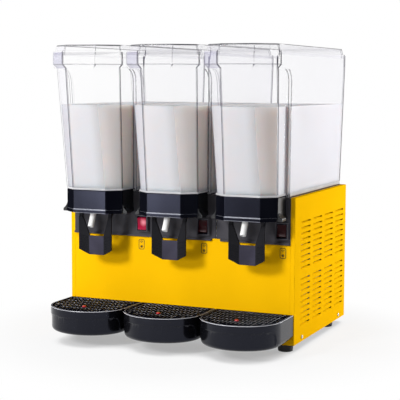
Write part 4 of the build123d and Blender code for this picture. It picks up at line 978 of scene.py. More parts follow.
@dataclass
class Casing:
    """Yellow sheet panels with pressed louvres, and the feet and screws under them."""

    fold_radius: float = 0.0022
    foot_edge: float = 0.0015
    screw_edge: float = 0.0005
    louvre_length: float = 0.062
    louvre_height: float = 0.0036
    louvre_columns: int = 4
    louvre_rows: int = 9
    row_pitch: float = 0.01245
    front_margin: float = 0.041
    rear_margin: float = 0.021
    slot_length: float = 0.064
    top_margin: float = 0.057
    tongue_columns: int = 8
    tongue_sheet: float = 0.0006
    tongue_drop: float = 0.36
    tongue_slope: float = 0.14
    tongue_heel: float = 0.85
    heel_drop: float = 0.4
    smooth_angle: float = 40.0
    pieces: dict[str, bpy.types.Object] = field(default_factory=dict)

    def build(self) -> None:
        """Model the panels, their louvres, the feet and the screws."""
        for node in ("front_panel", "side_panel_left", "side_panel_right", "rear_panel"):
            self.pieces[node] = Bench.copy_node(node, f"{node}_sheet")
        for node in ("side_panel_left", "side_panel_right"):
            self.round_fold(self.pieces[node])
        tongue = self.tongue()
        turns = {"side_panel_right": 0.0, "side_panel_left": math.pi, "rear_panel": math.pi / 2}
        for node, turn in turns.items():
            Bench.join(self.pieces[node], self.louvres(node, tongue, turn))
        Bench.discard(tongue)
        for node, radius in (("rubber_feet", self.foot_edge), ("panel_screws", self.screw_edge)):
            self.pieces[node] = Bench.copy_node(node, f"{node}_rounded")
            Bench.soften(self.pieces[node], radius)

    def round_fold(self, panel: bpy.types.Object) -> None:
        """Round the folded corners of a side panel: its front one and its top one.

        Args:
            panel: The side panel's copy.
        """
        outside = max((corner.co.x for corner in panel.data.vertices), key=abs)
        front = min(corner.co.y for corner in panel.data.vertices)
        top = max(corner.co.z for corner in panel.data.vertices)

        def at(edge: bmesh.types.BMEdge, axis: int, place: float) -> bool:
            """Whether both ends of an edge have one place on an axis."""
            return all(abs(end.co[axis] - place) < MERGE for end in edge.verts)

        def folded(edge: bmesh.types.BMEdge) -> bool:
            """Whether an edge is one of the two folds."""
            return at(edge, 0, outside) and (at(edge, 1, front) or at(edge, 2, top))

        Bench.bevel(panel, folded, self.fold_radius, segments=4, clamp=True)

    def tongue(self) -> bpy.types.Object:
        """Model one louvre's tongue, pressed in below its slit, on a panel that faces +X.

        Returns:
            The tongue, with the slot's middle at the origin.
        """
        Bench.clear()
        bpy.ops.mesh.primitive_grid_add(
            x_subdivisions=self.tongue_columns,
            y_subdivisions=1,
            size=1.0,
            rotation=(math.pi / 2, 0.0, math.pi / 2),
        )
        bpy.context.object.scale = (self.louvre_length, self.louvre_height, 1.0)
        tongue = Bench.named("louvre_tongue")
        step = self.louvre_length / self.tongue_columns
        with Bench.editing(tongue):
            for number in range(self.tongue_columns + 1):
                along = number / self.tongue_columns
                place = -self.louvre_length / 2 + number * step
                heel = self.heel_drop if along > self.tongue_heel else 0.0
                drop = self.louvre_height * (self.tongue_drop + self.tongue_slope * along + heel)
                Bench.choose(
                    tongue,
                    MeshPart.CORNER,
                    lambda corner: abs(corner.co.y - place) < step / 4 and corner.co.z > 0,
                )
                bpy.ops.transform.translate(value=(drop - self.louvre_height, 0.0, -drop))
        Bench.modify(tongue, "SOLIDIFY", thickness=self.tongue_sheet, offset=-1.0)
        return tongue

    def louvres(self, node: str, tongue: bpy.types.Object, turn: float) -> list[bpy.types.Object]:
        """Set a tongue into every slot of a panel.

        Args:
            node: The panel's node.
            tongue: The tongue to copy.
            turn: Angle about Z from a panel that faces +X.

        Returns:
            The tongues.
        """
        low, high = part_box("side_panel_right")
        span = high.y - low.y - self.front_margin - self.rear_margin
        pitch = (span - self.slot_length) / (self.louvre_columns - 1)
        first = low.y + self.front_margin + self.slot_length / 2
        columns = [first + number * pitch for number in range(self.louvre_columns)]
        top = high.z - self.top_margin
        last = 2 * self.louvre_rows + 1
        numbers = [number for number in range(last) if number != self.louvre_rows]
        rows = [top - number * self.row_pitch for number in numbers]
        if node == "rear_panel":
            rows = rows[: self.louvre_rows]
            columns = [place - sum(columns) / len(columns) for place in columns]
            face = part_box(node)[1].y
            shifts = [Vector((-place, face, row)) for place in columns for row in rows]
        else:
            face = high.x if node == "side_panel_right" else -high.x
            shifts = [Vector((face, place, row)) for place in columns for row in rows]
        turned = bpy.data.objects.new("turned_tongue", tongue.data.copy())
        if turn == math.pi:
            turned.data.transform(Matrix.Scale(-1.0, 4, (1.0, 0.0, 0.0)))
            turned.data.flip_normals()
        else:
            turned.data.transform(Matrix.Rotation(turn, 4, "Z"))
        made = Bench.copies(turned, shifts)
        Bench.discard(turned)
        return made

    def dress(self) -> None:
        """Paint the panels and hang every piece on the casing."""
        for node, piece in self.pieces.items():
            paint(piece, finish_of(node))
            Bench.smooth(piece, self.smooth_angle)
            mount(piece, node)


@dataclass
class Fascia:
    """Black fascia with its switches, and the small marks under them on the front panel."""

    edge: float = 0.0012
    body_depth: float = 0.0005
    lens_depth: float = 0.004
    window_half: Span = (0.019, 0.026)
    glow_highlight_offset: Triple = (0.005, -0.006, 0.003)
    mark_width: float = 0.0145
    mark_height: float = 0.0235
    mark_line: float = 0.0014
    mark_drop: float = 0.018
    mark_shift: dict[Side, float] = field(
        default_factory=lambda: {Side.LEFT: -0.0052, Side.MIDDLE: -0.001, Side.RIGHT: 0.0}
    )
    mark_thickness: float = 0.0002
    star_drop: float = 0.22
    star_size: float = 0.5
    dial_rise: float = 0.16
    dial_size: float = 0.26
    dial_turns: tuple[float, ...] = (-0.9, -0.45, 0.0, 0.45, 0.9)
    pieces: dict[str, bpy.types.Object] = field(default_factory=dict)
    marks: list[bpy.types.Object] = field(default_factory=list)

    def build(self) -> None:
        """Model the fascia, the rockers in their bodies and the marks."""
        windows = [middle_of(f"rocker_{side.value}") for side in Side]
        for node in ("fascia_double", "fascia_single"):
            self.pieces[node] = Bench.copy_node(node, f"{node}_moulding")
            Bench.bevel(
                self.pieces[node],
                lambda edge: Bench.roomy(edge, self.edge) and not self.at_window(edge, windows),
                self.edge,
                segments=2,
            )
        self.pieces["switch_bodies"] = Bench.copy_node("switch_bodies", "switch_body_set")
        self.round_front("switch_bodies", self.edge / 3, self.body_depth)
        for side in Side:
            node = f"rocker_{side.value}"
            self.pieces[node] = Bench.copy_node(node, f"{node}_lens")
            self.round_front(node, self.edge, self.lens_depth)
            self.marks.append(self.mark(side))

    def at_window(self, edge: bmesh.types.BMEdge, windows: Sequence[Vector]) -> bool:
        """Whether an edge of the fascia touches the window of a switch.

        Args:
            edge: An edge of the fascia.
            windows: Middles of the windows.

        Returns:
            True near a window.
        """
        wide, high = self.window_half
        return any(
            abs(end.co.x - middle.x) < wide and abs(end.co.z - middle.z) < high
            for middle in windows
            for end in edge.verts
        )

    def round_front(self, node: str, radius: float, depth: float) -> None:
        """Round the edges at the front of a switch's piece, and leave those behind sharp.

        Args:
            node: The piece's node.
            radius: Width of the rounding.
            depth: How far behind its front the rounded edges may lie.
        """
        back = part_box(node)[0].y + depth
        Bench.bevel(
            self.pieces[node],
            lambda edge: Bench.roomy(edge, radius) and all(end.co.y < back for end in edge.verts),
            radius,
        )

    def bar(self, centre: Vector, length: float, angle: float) -> bpy.types.Object:
        """Model one stroke of a mark on the front panel.

        Args:
            centre: Middle of the stroke on the panel's face.
            length: Length of the stroke.
            angle: Its angle from level.

        Returns:
            The stroke.
        """

        def deep(edge: bmesh.types.BMEdge) -> bool:
            """Whether an edge runs into the panel."""
            return abs(edge.verts[0].co.y - edge.verts[1].co.y) > MERGE

        half = Vector((length / 2, self.mark_thickness / 2, self.mark_line / 2))
        stroke = Bench.block("stroke", centre - half, centre + half, (0.0, angle, 0.0))
        Bench.bevel(stroke, deep, self.mark_line / 4, segments=2)
        return stroke

    def mark(self, side: Side) -> bpy.types.Object:
        """Model the mark under a switch: a frame round a cold star and a dial.

        Args:
            side: The switch's station.

        Returns:
            The mark.
        """
        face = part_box("front_panel")[0].y - self.mark_thickness / 2
        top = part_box("fascia_double")[0].z - self.mark_drop
        across = middle_of(f"rocker_{side.value}").x + self.mark_shift[side]
        centre = Vector((across, face, top))
        upright = (math.pi / 2, 0.0, 0.0)
        Bench.clear()
        bpy.ops.mesh.primitive_plane_add(size=1.0, location=centre, rotation=upright)
        bpy.context.object.scale = (self.mark_width, self.mark_height, 1.0)
        mark = Bench.named(f"switch_mark_{side.value}")
        sink = {"value": (0.0, self.mark_thickness, 0.0)}
        with Bench.editing(mark, whole=True):
            bpy.ops.mesh.bevel(offset=3 * self.mark_line, segments=4, affect="VERTICES")
            bpy.ops.mesh.select_all(action="SELECT")
            bpy.ops.mesh.inset(thickness=self.mark_line)
            bpy.ops.mesh.delete(type="FACE")
            bpy.ops.mesh.select_all(action="SELECT")
            bpy.ops.mesh.extrude_region_move(TRANSFORM_OT_translate=sink)
            bpy.ops.mesh.select_all(action="SELECT")
            bpy.ops.mesh.normals_make_consistent(inside=False)
        star = centre - Vector((0.0, 0.0, self.mark_height * self.star_drop))
        dial = centre + Vector((0.0, 0.0, self.mark_height * self.dial_rise))
        ray = self.mark_width * self.star_size
        strokes = [self.bar(star, ray, turn * math.pi / 3) for turn in range(3)]
        radius = self.mark_width * self.dial_size
        for turn in self.dial_turns:
            spot = dial + Vector((radius * math.sin(turn), 0.0, radius * math.cos(turn)))
            strokes.append(self.bar(spot, radius / 2, turn))
        strokes.append(self.bar(dial, 2 * self.mark_line, 0.0))
        Bench.join(mark, strokes)
        return mark

    def dress(self) -> None:
        """Paint the mouldings and lenses, and light the left switch, with a painted highlight at
        the glow's brightest spot.
        """
        # The glow's brightest spot is set off to the upper right of the lens as a painted highlight
        spot = middle_of(f"rocker_{Side.LEFT.value}") + Vector(self.glow_highlight_offset)
        lit = replace(LIT_RED, spot=tuple(spot))
        for node, piece in self.pieces.items():
            finish = finish_of(node)
            if node.startswith("fascia"):
                finish = BLACK_SATIN
            if node.startswith("rocker"):
                finish = lit if node.endswith(Side.LEFT.value) else DARK_RED
            paint(piece, finish)
            Bench.smooth(piece)
            mount(piece, node)
        for mark in self.marks:
            paint(mark, MARK_INK)
            mount(mark, "front_panel", stands_for=False)


@dataclass
class BowlSet:
    """The clear bowl of one station, with its lid and the drink in it."""

    side: Side
    step_line: float = 0.0017
    step_side: float = 0.06
    step_front: float = 0.1
    step_angle: float = 1.0
    short_run: float = 0.001
    rim_line: float = 0.0009
    rim_band: float = 0.026
    shoulder: float = 0.0095
    foot_line: float = 0.0012
    foot_band: float = 0.0108
    foot_gap: float = 0.0034
    foot_margin: float = 0.002
    nose_reach: float = 0.006
    facet_reach: float = 0.027
    facet_side: float = 0.03
    flank_side: float = 0.066
    tail_reach: float = 0.2
    lid_line: float = 0.003
    lid_angle: float = 0.8
    front_reach: float = 0.012
    outline: float = 0.0024
    slant: float = 40.4
    slant_span: float = 5.0
    corner_span: float = 3.0
    upright: float = 0.85
    flank_turn: float = 0.8
    outside_angle: float = math.radians(25)
    floor_rise: float = 0.0091
    drink_height: float = 0.1861
    drink_gap: float = 0.0003
    drink_rim: float = 0.002
    drink_dip: float = 0.0007
    drink_flat: float = 0.9
    drink_back: float = 0.9
    drink_end: float = 0.99
    height_weight: float = 4.0
    # A painted tone of the drink, the least and greatest x and the greatest y of its faces' normals
    drink_sides: tuple[tuple[DrinkSkin, float, float, float], ...] = (
        (DrinkSkin.SLANT, 0.1, 0.8, -0.3),
        (DrinkSkin.LEFT, -0.9, -0.3, -0.3),
        (DrinkSkin.END, 0.8, 2.0, 2.0),
    )
    shade_reach: float = 0.026
    well_gap: float = 0.0006
    well_rise: float = 0.005
    well_sides: int = 96
    bowl: bpy.types.Object | None = None
    lid: bpy.types.Object | None = None
    drink: bpy.types.Object | None = None
    middle: Vector = field(default_factory=Vector)
    top: float = 0.0
    foot_top: float = 0.0
    seat_front: float = 0.0
    half: float = 0.0
    rim_half: float = 0.0

    def build(self) -> None:
        """Model the bowl, the drink that fills it and the lid."""
        name = self.side.value
        self.middle = middle_of(f"bowl_{name}")
        self.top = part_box(f"bowl_{name}")[1].z
        self.foot_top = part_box("top_deck")[1].z + self.foot_band
        self.seat_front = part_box(f"bowl_seat_{name}")[0].y - self.middle.y
        self.bowl = Bench.copy_node(f"bowl_{name}", f"bowl_{name}_shell")
        corners = [corner.co for corner in self.bowl.data.vertices]
        self.rim_half = max(abs(corner.x - self.middle.x) for corner in corners)
        self.half = max(
            abs(corner.x - self.middle.x)
            for corner in corners
            if self.foot_top < corner.z < self.top - 2 * self.rim_band
        )
        self.drink = self.pour()
        self.line_bowl()
        self.cover()

    def line_bowl(self) -> None:
        """Round the bowl's edges and paint the roundings as dark lines, painted reflections, and
        divide its walls where finishes meet.
        """
        paint(
            self.bowl,
            CLEAR_WALL,
            CLEAR_LINE,
            CLEAR_CORNER,
            CLEAR_FACET,
            CLEAR_FOOT,
            CLEAR_BEND,
            CLEAR_EDGE_PAINTED_SHADE,
        )
        for test, width in (
            (self.on_step, self.step_line),
            (self.on_rim_foot, self.rim_line),
            (self.on_foot, self.foot_line),
        ):
            Bench.bevel(self.bowl, test, width, mark=BowlSkin.LINE)
        for height in (self.foot_top, self.foot_top - self.foot_band + self.foot_gap):
            Bench.bisect(self.bowl, (0.0, 0.0, height), (0.0, 0.0, 1.0))
        for half in (self.half, self.rim_half):
            left = self.middle.x - half + self.outline
            Bench.bisect(self.bowl, (left, 0.0, 0.0), (1.0, 0.0, 0.0))

    def cover(self) -> None:
        """Model the lid, with its top's front edges and long side edges rounded and painted dark as
        painted reflections.
        """
        name = self.side.value
        self.lid = Bench.copy_node(f"lid_{name}", f"lid_{name}_shell")
        paint(self.lid, CLEAR_WALL, CLEAR_EDGE_PAINTED_SHADE, CLEAR_CORNER)
        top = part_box(f"lid_{name}")[1].z - LEVEL
        front = self.middle.y + self.seat_front + self.front_reach

        def on_top(edge: bmesh.types.BMEdge) -> bool:
            """Whether an edge goes round the lid's top."""
            high = all(end.co.z > top for end in edge.verts)
            return high and edge.calc_face_angle() > self.lid_angle

        def in_front(edge: bmesh.types.BMEdge) -> bool:
            """Whether an edge of the top is at the front."""
            return on_top(edge) and all(end.co.y < front for end in edge.verts)

        def beside(edge: bmesh.types.BMEdge) -> bool:
            """Whether an edge of the top is one of its long sides."""
            return on_top(edge) and abs(edge.verts[0].co.y - edge.verts[1].co.y) > self.half

        Bench.bevel(self.lid, in_front, self.lid_line, mark=LidSkin.EDGE)
        Bench.bevel(self.lid, beside, self.step_line, mark=LidSkin.EDGE)

    def outward(self, edge: bmesh.types.BMEdge) -> tuple[bool, Vector, Vector]:
        """Measure an edge of the bowl.

        Args:
            edge: An edge of the open bowl.

        Returns:
            Whether it is a sharp edge of the outside, its middle seen from the bowl's, and its run.
        """
        first, second = (end.co for end in edge.verts)
        away = (first + second) / 2 - self.middle
        out = sum((face.normal for face in edge.link_faces), Vector())
        sharp = len(edge.link_faces) == 2 and edge.calc_face_angle() > self.outside_angle
        return sharp and out.x * away.x + out.y * away.y > 0, away, second - first

    def on_step(self, edge: bmesh.types.BMEdge) -> bool:
        """Whether an edge runs along the step from the nose to the body.

        Args:
            edge: An edge of the open bowl.

        Returns:
            True on the step.
        """
        outside, away, run = self.outward(edge)
        height = away.z + self.middle.z
        level = self.foot_top < height < self.top - self.rim_band - self.shoulder
        long = abs(run.y) + abs(run.z) > self.short_run
        beside = abs(away.x) > self.step_side and away.y < -self.step_front
        return outside and level and long and beside and edge.calc_face_angle() > self.step_angle

    def on_rim_foot(self, edge: bmesh.types.BMEdge) -> bool:
        """Whether an edge runs along the foot of the rim's band at the front.

        Args:
            edge: An edge of the open bowl.

        Returns:
            True under the band.
        """
        outside, away, _ = self.outward(edge)
        foot = self.top - self.rim_band
        return outside and away.y < 0 and all(abs(end.co.z - foot) < LEVEL for end in edge.verts)

    def on_foot(self, edge: bmesh.types.BMEdge) -> bool:
        """Whether an edge runs along the foot of the bowl, where it stands on its seat.

        Args:
            edge: An edge of the open bowl.

        Returns:
            True at the foot.
        """
        outside, away, _ = self.outward(edge)
        low = self.foot_top - self.foot_band - LEVEL
        high = self.foot_top - self.foot_margin
        level = all(low < end.co.z < high for end in edge.verts)
        nose = away.y < self.seat_front + self.nose_reach
        facet = away.y < self.seat_front + self.facet_reach and abs(away.x) > self.facet_side
        rim = abs(away.x) > self.flank_side or nose or facet or away.y > self.tail_reach
        return outside and level and rim

    def pour(self) -> bpy.types.Object:
        """Model the drink: a block cut by the bowl's walls and by the drum with its impeller.

        Returns:
            The drink, a hair clear of the walls.
        """
        name = self.side.value
        low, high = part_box(f"bowl_{name}")
        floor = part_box("top_deck")[1].z + self.floor_rise
        top = floor + self.drink_height
        margin = Vector((self.floor_rise, self.floor_rise, 0.0))
        start = Vector((low.x, low.y, floor - self.drink_rim)) - margin
        block = Bench.block(f"drink_{name}", start, Vector((high.x, high.y, top)) + margin)
        Bench.cut(block, self.bowl)
        well = self.drum_well(floor)
        Bench.cut(block, well)
        Bench.discard(well)
        with Bench.editing(block, whole=True):
            bpy.ops.mesh.separate(type="LOOSE")
        found = [each for each in bpy.context.selected_objects if each.type == "MESH"]
        found.sort(key=lambda each: each.dimensions.x * each.dimensions.y * each.dimensions.z)
        drink = [each for each in found if each.dimensions.x < high.x - low.x][-1]
        for each in found:
            if each != drink:
                Bench.discard(each)
        drink.name = drink.data.name = f"drink_{name}"

        def surface(face: bmesh.types.BMFace) -> bool:
            """Whether a face is the drink's top."""
            high = face.calc_center_median().z > top - self.drink_rim
            return high and face.normal.z > self.drink_flat

        with Bench.editing(drink, whole=True):
            Bench.merge()
            bpy.ops.mesh.select_all(action="SELECT")
            bpy.ops.transform.shrink_fatten(value=-self.drink_gap)
            Bench.choose(drink, MeshPart.FACE, surface)
            bpy.ops.mesh.inset(thickness=self.drink_rim)
            bpy.ops.transform.translate(value=(0.0, 0.0, -self.drink_dip))
        return drink

    def drum_well(self, floor: float) -> bpy.types.Object:
        """Model the room that the drum and its impeller take up in the drink.

        Args:
            floor: Height of the bowl's floor.

        Returns:
            The room, as a tool to cut with.
        """
        low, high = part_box(f"evaporator_{self.side.value}")
        Bench.clear()
        bpy.ops.mesh.primitive_cylinder_add(
            vertices=self.well_sides,
            radius=(high.x - low.x) / 2 + self.well_gap,
            depth=2 * (high.z + self.well_rise - floor),
            location=((low.x + high.x) / 2, (low.y + high.y) / 2, floor),
        )
        return Bench.named("drum_well")

    def inner(self, face: bpy.types.MeshPolygon) -> bool:
        """Whether a face looks into the bowl."""
        away = face.center - self.middle
        return face.normal.x * away.x + face.normal.y * away.y < 0

    def turn(self, face: bpy.types.MeshPolygon) -> float:
        """Angle in degrees, from the front, to which the wall with a face is turned."""
        sign = -1 if self.inner(face) else 1
        return math.degrees(math.atan2(abs(face.normal.x), -sign * face.normal.y))

    def corner(self, face: bpy.types.MeshPolygon) -> bool:
        """Whether an upright face lies in a rounded corner between two flat sides."""
        away = min(abs(self.turn(face) - flat) for flat in (0.0, self.slant, 90.0, 180.0))
        return abs(face.normal.z) < self.upright and away > self.corner_span

    def slanted(self, face: bpy.types.MeshPolygon) -> bool:
        """Whether a face is outside on one of the slanted sides."""
        return abs(self.turn(face) - self.slant) < self.slant_span and not self.inner(face)

    def outlined(self, face: bpy.types.MeshPolygon) -> bool:
        """Whether a face of the slanted left side lies along its outline, which is painted as a
        dark line, a painted reflection.
        """
        half = self.rim_half if face.center.z > self.top - self.rim_band else self.half
        return self.slanted(face) and face.center.x < self.middle.x - half + self.outline

    def shades(self) -> tuple[Finish, Finish]:
        """Choose the painted shading of the drink's front and right-hand slant, which shade into
        each other at their corner.

        Returns:
            The finishes of the front and of the slant.
        """
        name = self.side.value
        mesh = self.drink.data
        fronts = [face for face in mesh.polygons if face.normal.y < -self.drink_flat]
        front = max(fronts, key=lambda face: face.area)
        ends = [mesh.vertices[index].co for index in front.vertices]
        high = max(ends, key=lambda end: end.z * self.height_weight + end.x)
        low = min(ends, key=lambda end: end.z * self.height_weight - end.x)
        lean = (high.x - low.x) / (high.z - low.z)
        start = low.x - lean * low.z
        reach = self.shade_reach
        return (
            replace(MILK, name=f"milky_drink_front_{name}", line=(start, lean, -reach)),
            replace(MILK_SLANT, name=f"milky_drink_slant_{name}", line=(start, lean, reach)),
        )

    def dress(self) -> None:
        """Paint dark reflections, light and shadow on the bowl and lid, painted shading on the
        drink, and seat the bowl, lid and drink.
        """
        name = self.side.value
        self.paint_clear_light_and_shade()
        self.paint_drink_shading()
        mount(self.bowl, f"bowl_{name}")
        mount(self.lid, f"lid_{name}")
        mount(self.drink, f"bowl_{name}", stands_for=False)

    def paint_clear_light_and_shade(self) -> None:
        """Paint dark reflections on the corners and slants of the bowl and lid, painted light on
        the bowl's foot and painted shadow at the gap under its sides.
        """
        rim_foot = self.top - self.rim_band - self.shoulder
        gap_top = self.foot_top - self.foot_band + self.foot_gap

        def bare(face: bpy.types.MeshPolygon) -> bool:
            """Whether a face still has the finish of a plain wall."""
            return face.material_index == BowlSkin.WALL

        def foot(face: bpy.types.MeshPolygon) -> bool:
            """Whether a face is part of the bowl's foot, painted white as painted light."""
            low = face.center.z < self.foot_top
            return face.material_index != BowlSkin.LINE and low and not self.inner(face)

        def gap(face: bpy.types.MeshPolygon) -> bool:
            """Whether a face is at the foot of the sides, painted dark as painted shadow of the gap
            under it.
            """
            low = face.center.z < gap_top
            return low and abs(face.normal.x) > self.flank_turn and not self.inner(face)

        # Corners, bends and slants are painted dark as painted reflections, the foot is painted
        # light and the gap painted shadow
        mark_faces(self.lid, LidSkin.CORNER, lambda face: bare(face) and self.corner(face))
        for number, test in (
            (BowlSkin.BEND, lambda face: bare(face) and self.corner(face)),
            (
                BowlSkin.CORNER,
                lambda face: face.material_index == BowlSkin.BEND and face.center.z > rim_foot,
            ),
            (
                BowlSkin.FACET,
                lambda face: bare(face) and self.slanted(face) and face.center.z > rim_foot,
            ),
            (BowlSkin.LINE, self.outlined),
            (BowlSkin.FOOT, foot),
            (BowlSkin.GAP, gap),
        ):
            mark_faces(self.bowl, number, test)
        Bench.smooth(self.bowl)
        Bench.smooth(self.lid)

    def paint_drink_shading(self) -> None:
        """Paint light and shade onto the sides of the drink as their tones, and keep its ends and
        back sharp.
        """
        front, slant = self.shades()
        # The right station's end is painted lit; the other ends face the gaps between bowls and are
        # painted in warm light
        end = MILK_END_PAINTED_LIGHT if self.side is Side.RIGHT else MILK_GAP_PAINTED_WARM_LIGHT
        paint(self.drink, front, end, MILK_LEFT_PAINTED_SHADE, slant)
        for number, low, high, forward in self.drink_sides:
            mark_faces(
                self.drink,
                number,
                lambda face: low < face.normal.x < high and face.normal.y < forward,
            )
        Bench.smooth(self.drink, flat=False)

        def ended(edge: bmesh.types.BMEdge) -> bool:
            """Whether an edge bounds an end or the back."""
            sides = (face.normal for face in edge.link_faces)
            return any(abs(side.x) > self.drink_end or side.y > self.drink_back for side in sides)

        with Bench.editing(self.drink):
            Bench.choose(self.drink, MeshPart.EDGE, ended)
            bpy.ops.mesh.mark_sharp()


@dataclass
class TapSet:
    """The black seat of one station, with its push lever, leaf spring and spout."""

    side: Side
    seat_edge: float = 0.0011
    lever_edge: float = 0.0009
    spout_edge: float = 0.0008
    spring_edge: float = 0.0002
    wing_reach: float = 0.0105
    wing_height: float = 0.023
    wing_forward: float = 0.007
    face_half: float = 0.0183
    lip_height: float = 0.008
    lip_tilt: Span = (0.2, 0.97)
    flank_turn: float = 0.3
    ahead_turn: float = 0.1
    facet_turn: float = 0.93
    ribs: int = 6
    rib_pitch: float = 0.0058
    rib_start: float = 0.0125
    rib_size: Triple = (0.0185, 0.0022, 0.0017)
    rib_slope: float = 16.0
    seat: bpy.types.Object | None = None
    lever: bpy.types.Object | None = None
    spout: bpy.types.Object | None = None
    spring: bpy.types.Object | None = None

    def build(self) -> None:
        """Model the seat, the lever with its ribs, the spout and the leaf spring."""
        name = self.side.value
        self.seat = Bench.copy_node(f"bowl_seat_{name}", f"bowl_seat_{name}_moulding")
        Bench.soften(self.seat, self.seat_edge, segments=3)
        self.lever = Bench.copy_node(f"tap_lever_{name}", f"tap_lever_{name}_moulding")
        Bench.soften(self.lever, self.lever_edge, segments=3)
        Bench.join(self.lever, self.rib_set())
        self.spout = Bench.copy_node(f"spout_{name}", f"spout_{name}_tube")
        Bench.soften(self.spout, self.spout_edge, segments=3)
        self.spring = Bench.copy_node(f"lever_spring_{name}", f"lever_spring_{name}_leaf")
        Bench.soften(self.spring, self.spring_edge)

    def rib_set(self) -> list[bpy.types.Object]:
        """Model the slanted ribs on both wings of the lever.

        Returns:
            The ribs.
        """
        low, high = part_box(f"tap_lever_{self.side.value}")
        centre, half = (low.x + high.x) / 2, (high.x - low.x) / 2
        angle = math.atan2(self.wing_forward, half - self.face_half)
        size = Vector(self.rib_size)
        made = []
        for sign in (-1, 1):
            across = centre + sign * (half + self.face_half) / 2
            turn = (0.0, -sign * math.radians(self.rib_slope), -sign * angle)
            for number in range(self.ribs):
                height = low.z + self.rib_start + number * self.rib_pitch
                spot = Vector((across, low.y + self.wing_forward / 2, height))
                rib = Bench.block("rib", spot - size / 2, spot + size / 2, turn)
                Bench.bevel(rib, lambda edge: True, size.z / 4, segments=2)
                made.append(rib)
        return made

    def dress(self) -> None:
        """Give the seat's finger wings a gloss, paint a highlight on the lip's edges, shade on the
        seat's flanks and a sheen on the lever's centre facet, hang the seat, lever and spout on
        their bodies, and set the spring in place.
        """
        name = self.side.value
        low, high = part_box(f"bowl_seat_{name}")
        inside = (high.x - low.x) / 2 - self.wing_reach
        middle = (low.x + high.x) / 2
        lip = low.z + self.lip_height

        def wing(face: bpy.types.MeshPolygon) -> bool:
            """Whether a face of the seat is part of a finger wing."""
            beside = abs(face.center.x - middle) > inside
            return beside and face.center.z < low.z + self.wing_height

        def lit(face: bpy.types.MeshPolygon) -> bool:
            """Whether a face is on a rounded edge of the lip, on the seat's front facet, where a
            highlight is painted.

            Args:
                face: A face of the seat.

            Returns:
                True on the lip's edges.
            """
            tilt, away = abs(face.normal.z), face.center.z
            near = min(abs(away - lip), abs(away - low.z)) < 2 * self.seat_edge
            ahead = abs(face.normal.x) < self.flank_turn and face.normal.y < -self.ahead_turn
            return near and ahead and self.lip_tilt[0] < tilt < self.lip_tilt[1]

        def centre_facet(face: bpy.types.MeshPolygon) -> bool:
            """Whether a face is on the lever's centre facet, which takes the painted sheen."""
            ahead = face.normal.y < -self.facet_turn
            return ahead and abs(face.center.x - middle) < self.face_half

        paint(self.seat, BLACK_PLASTIC, BLACK_GLOSS, LIP_PAINTED_HIGHLIGHT, BLACK_GRID)
        # The seat's flanks take the matt grid finish without the front's sheen, as painted shade
        mark_faces(self.seat, SeatSkin.FLANK, lambda face: abs(face.normal.x) > self.flank_turn)
        mark_faces(self.seat, SeatSkin.WING, wing)
        # The lip's rounded edges on the front facet take a light grey painted highlight
        mark_faces(self.seat, SeatSkin.LIP, lit)
        # The lever's centre facet takes the lighter copy of the moulding as painted sheen
        paint(self.lever, BLACK_WING, LEVER_PAINTED_SHEEN)
        mark_faces(self.lever, LeverSkin.FACE, centre_facet)
        paint(self.spout, SILICONE)
        hung = ((self.seat, "bowl_seat"), (self.lever, "tap_lever"), (self.spout, "spout"))
        for piece, node in hung:
            Bench.smooth(piece)
            mount(piece, f"{node}_{name}")
        self.bend_spring()

    def bend_spring(self) -> None:
        """Paint and smooth the spring, and put it in place of its node where it stands, on no body.
        """
        node = f"lever_spring_{self.side.value}"
        paint(self.spring, finish_of(node))
        Bench.smooth(self.spring)
        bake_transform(self.spring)
        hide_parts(node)
        report(self.spring, BODY_OF_NODE[node])


@dataclass
class DripSet:
    """The drip tray of one station, with its grid and red float."""

    side: Side
    edge: float = 0.0012
    grid_edge: float = 0.0006
    flat_top: float = 0.9
    steep: float = 0.2
    pieces: dict[str, bpy.types.Object] = field(default_factory=dict)

    def build(self) -> None:
        """Model the tray, the grid and the float with rounded edges."""
        edges = {"drip_tray": self.edge, "drip_grid": self.grid_edge, "tray_float": self.edge}
        for node, radius in edges.items():
            full = f"{node}_{self.side.value}"
            self.pieces[full] = Bench.copy_node(full, f"{full}_moulding")
            Bench.soften(self.pieces[full], radius)

    def dress(self) -> None:
        """Paint the pieces and hang them on their bodies."""
        for node, piece in self.pieces.items():
            if node.startswith("tray_float"):
                paint(piece, RED_PLASTIC)
            else:
                self.polish(node, piece)
            Bench.smooth(piece)
            mount(piece, node)

    def polish(self, node: str, piece: bpy.types.Object) -> None:
        """Dull the top of a tray or grid, and paint a highlight on the rounded edges round it.

        Args:
            node: The piece's node.
            piece: The tray or grid.
        """
        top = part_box(node)[1].z - 2 * self.edge
        # The rounded edges take a light grey painted highlight: the tray's rim and the grid's bars
        rim = RIM_PAINTED_HIGHLIGHT if node.startswith("drip_tray") else BAR_PAINTED_HIGHLIGHT
        paint(piece, BLACK_TRAY, BLACK_GRID, rim)
        mark_faces(piece, TraySkin.TOP, lambda face: face.normal.z > self.flat_top)
        mark_faces(
            piece,
            TraySkin.RIM,
            lambda face: face.center.z > top and self.steep < face.normal.z <= self.flat_top,
        )


@dataclass
class Machinery:
    """Everything of the frame that no piece stands for, which only needs its finish."""

    def build(self) -> None:
        """Leave the nodes' shapes as they are."""
        LOG.info("the machinery keeps the shapes of the frame")

    def dress(self) -> None:
        """Give every node that still shows the finish of its slot."""
        for name, node in frame["nodes"].items():
            if not node.hide_render:
                paint(node, finish_of(name))
                report(node, BODY_OF_NODE[name])


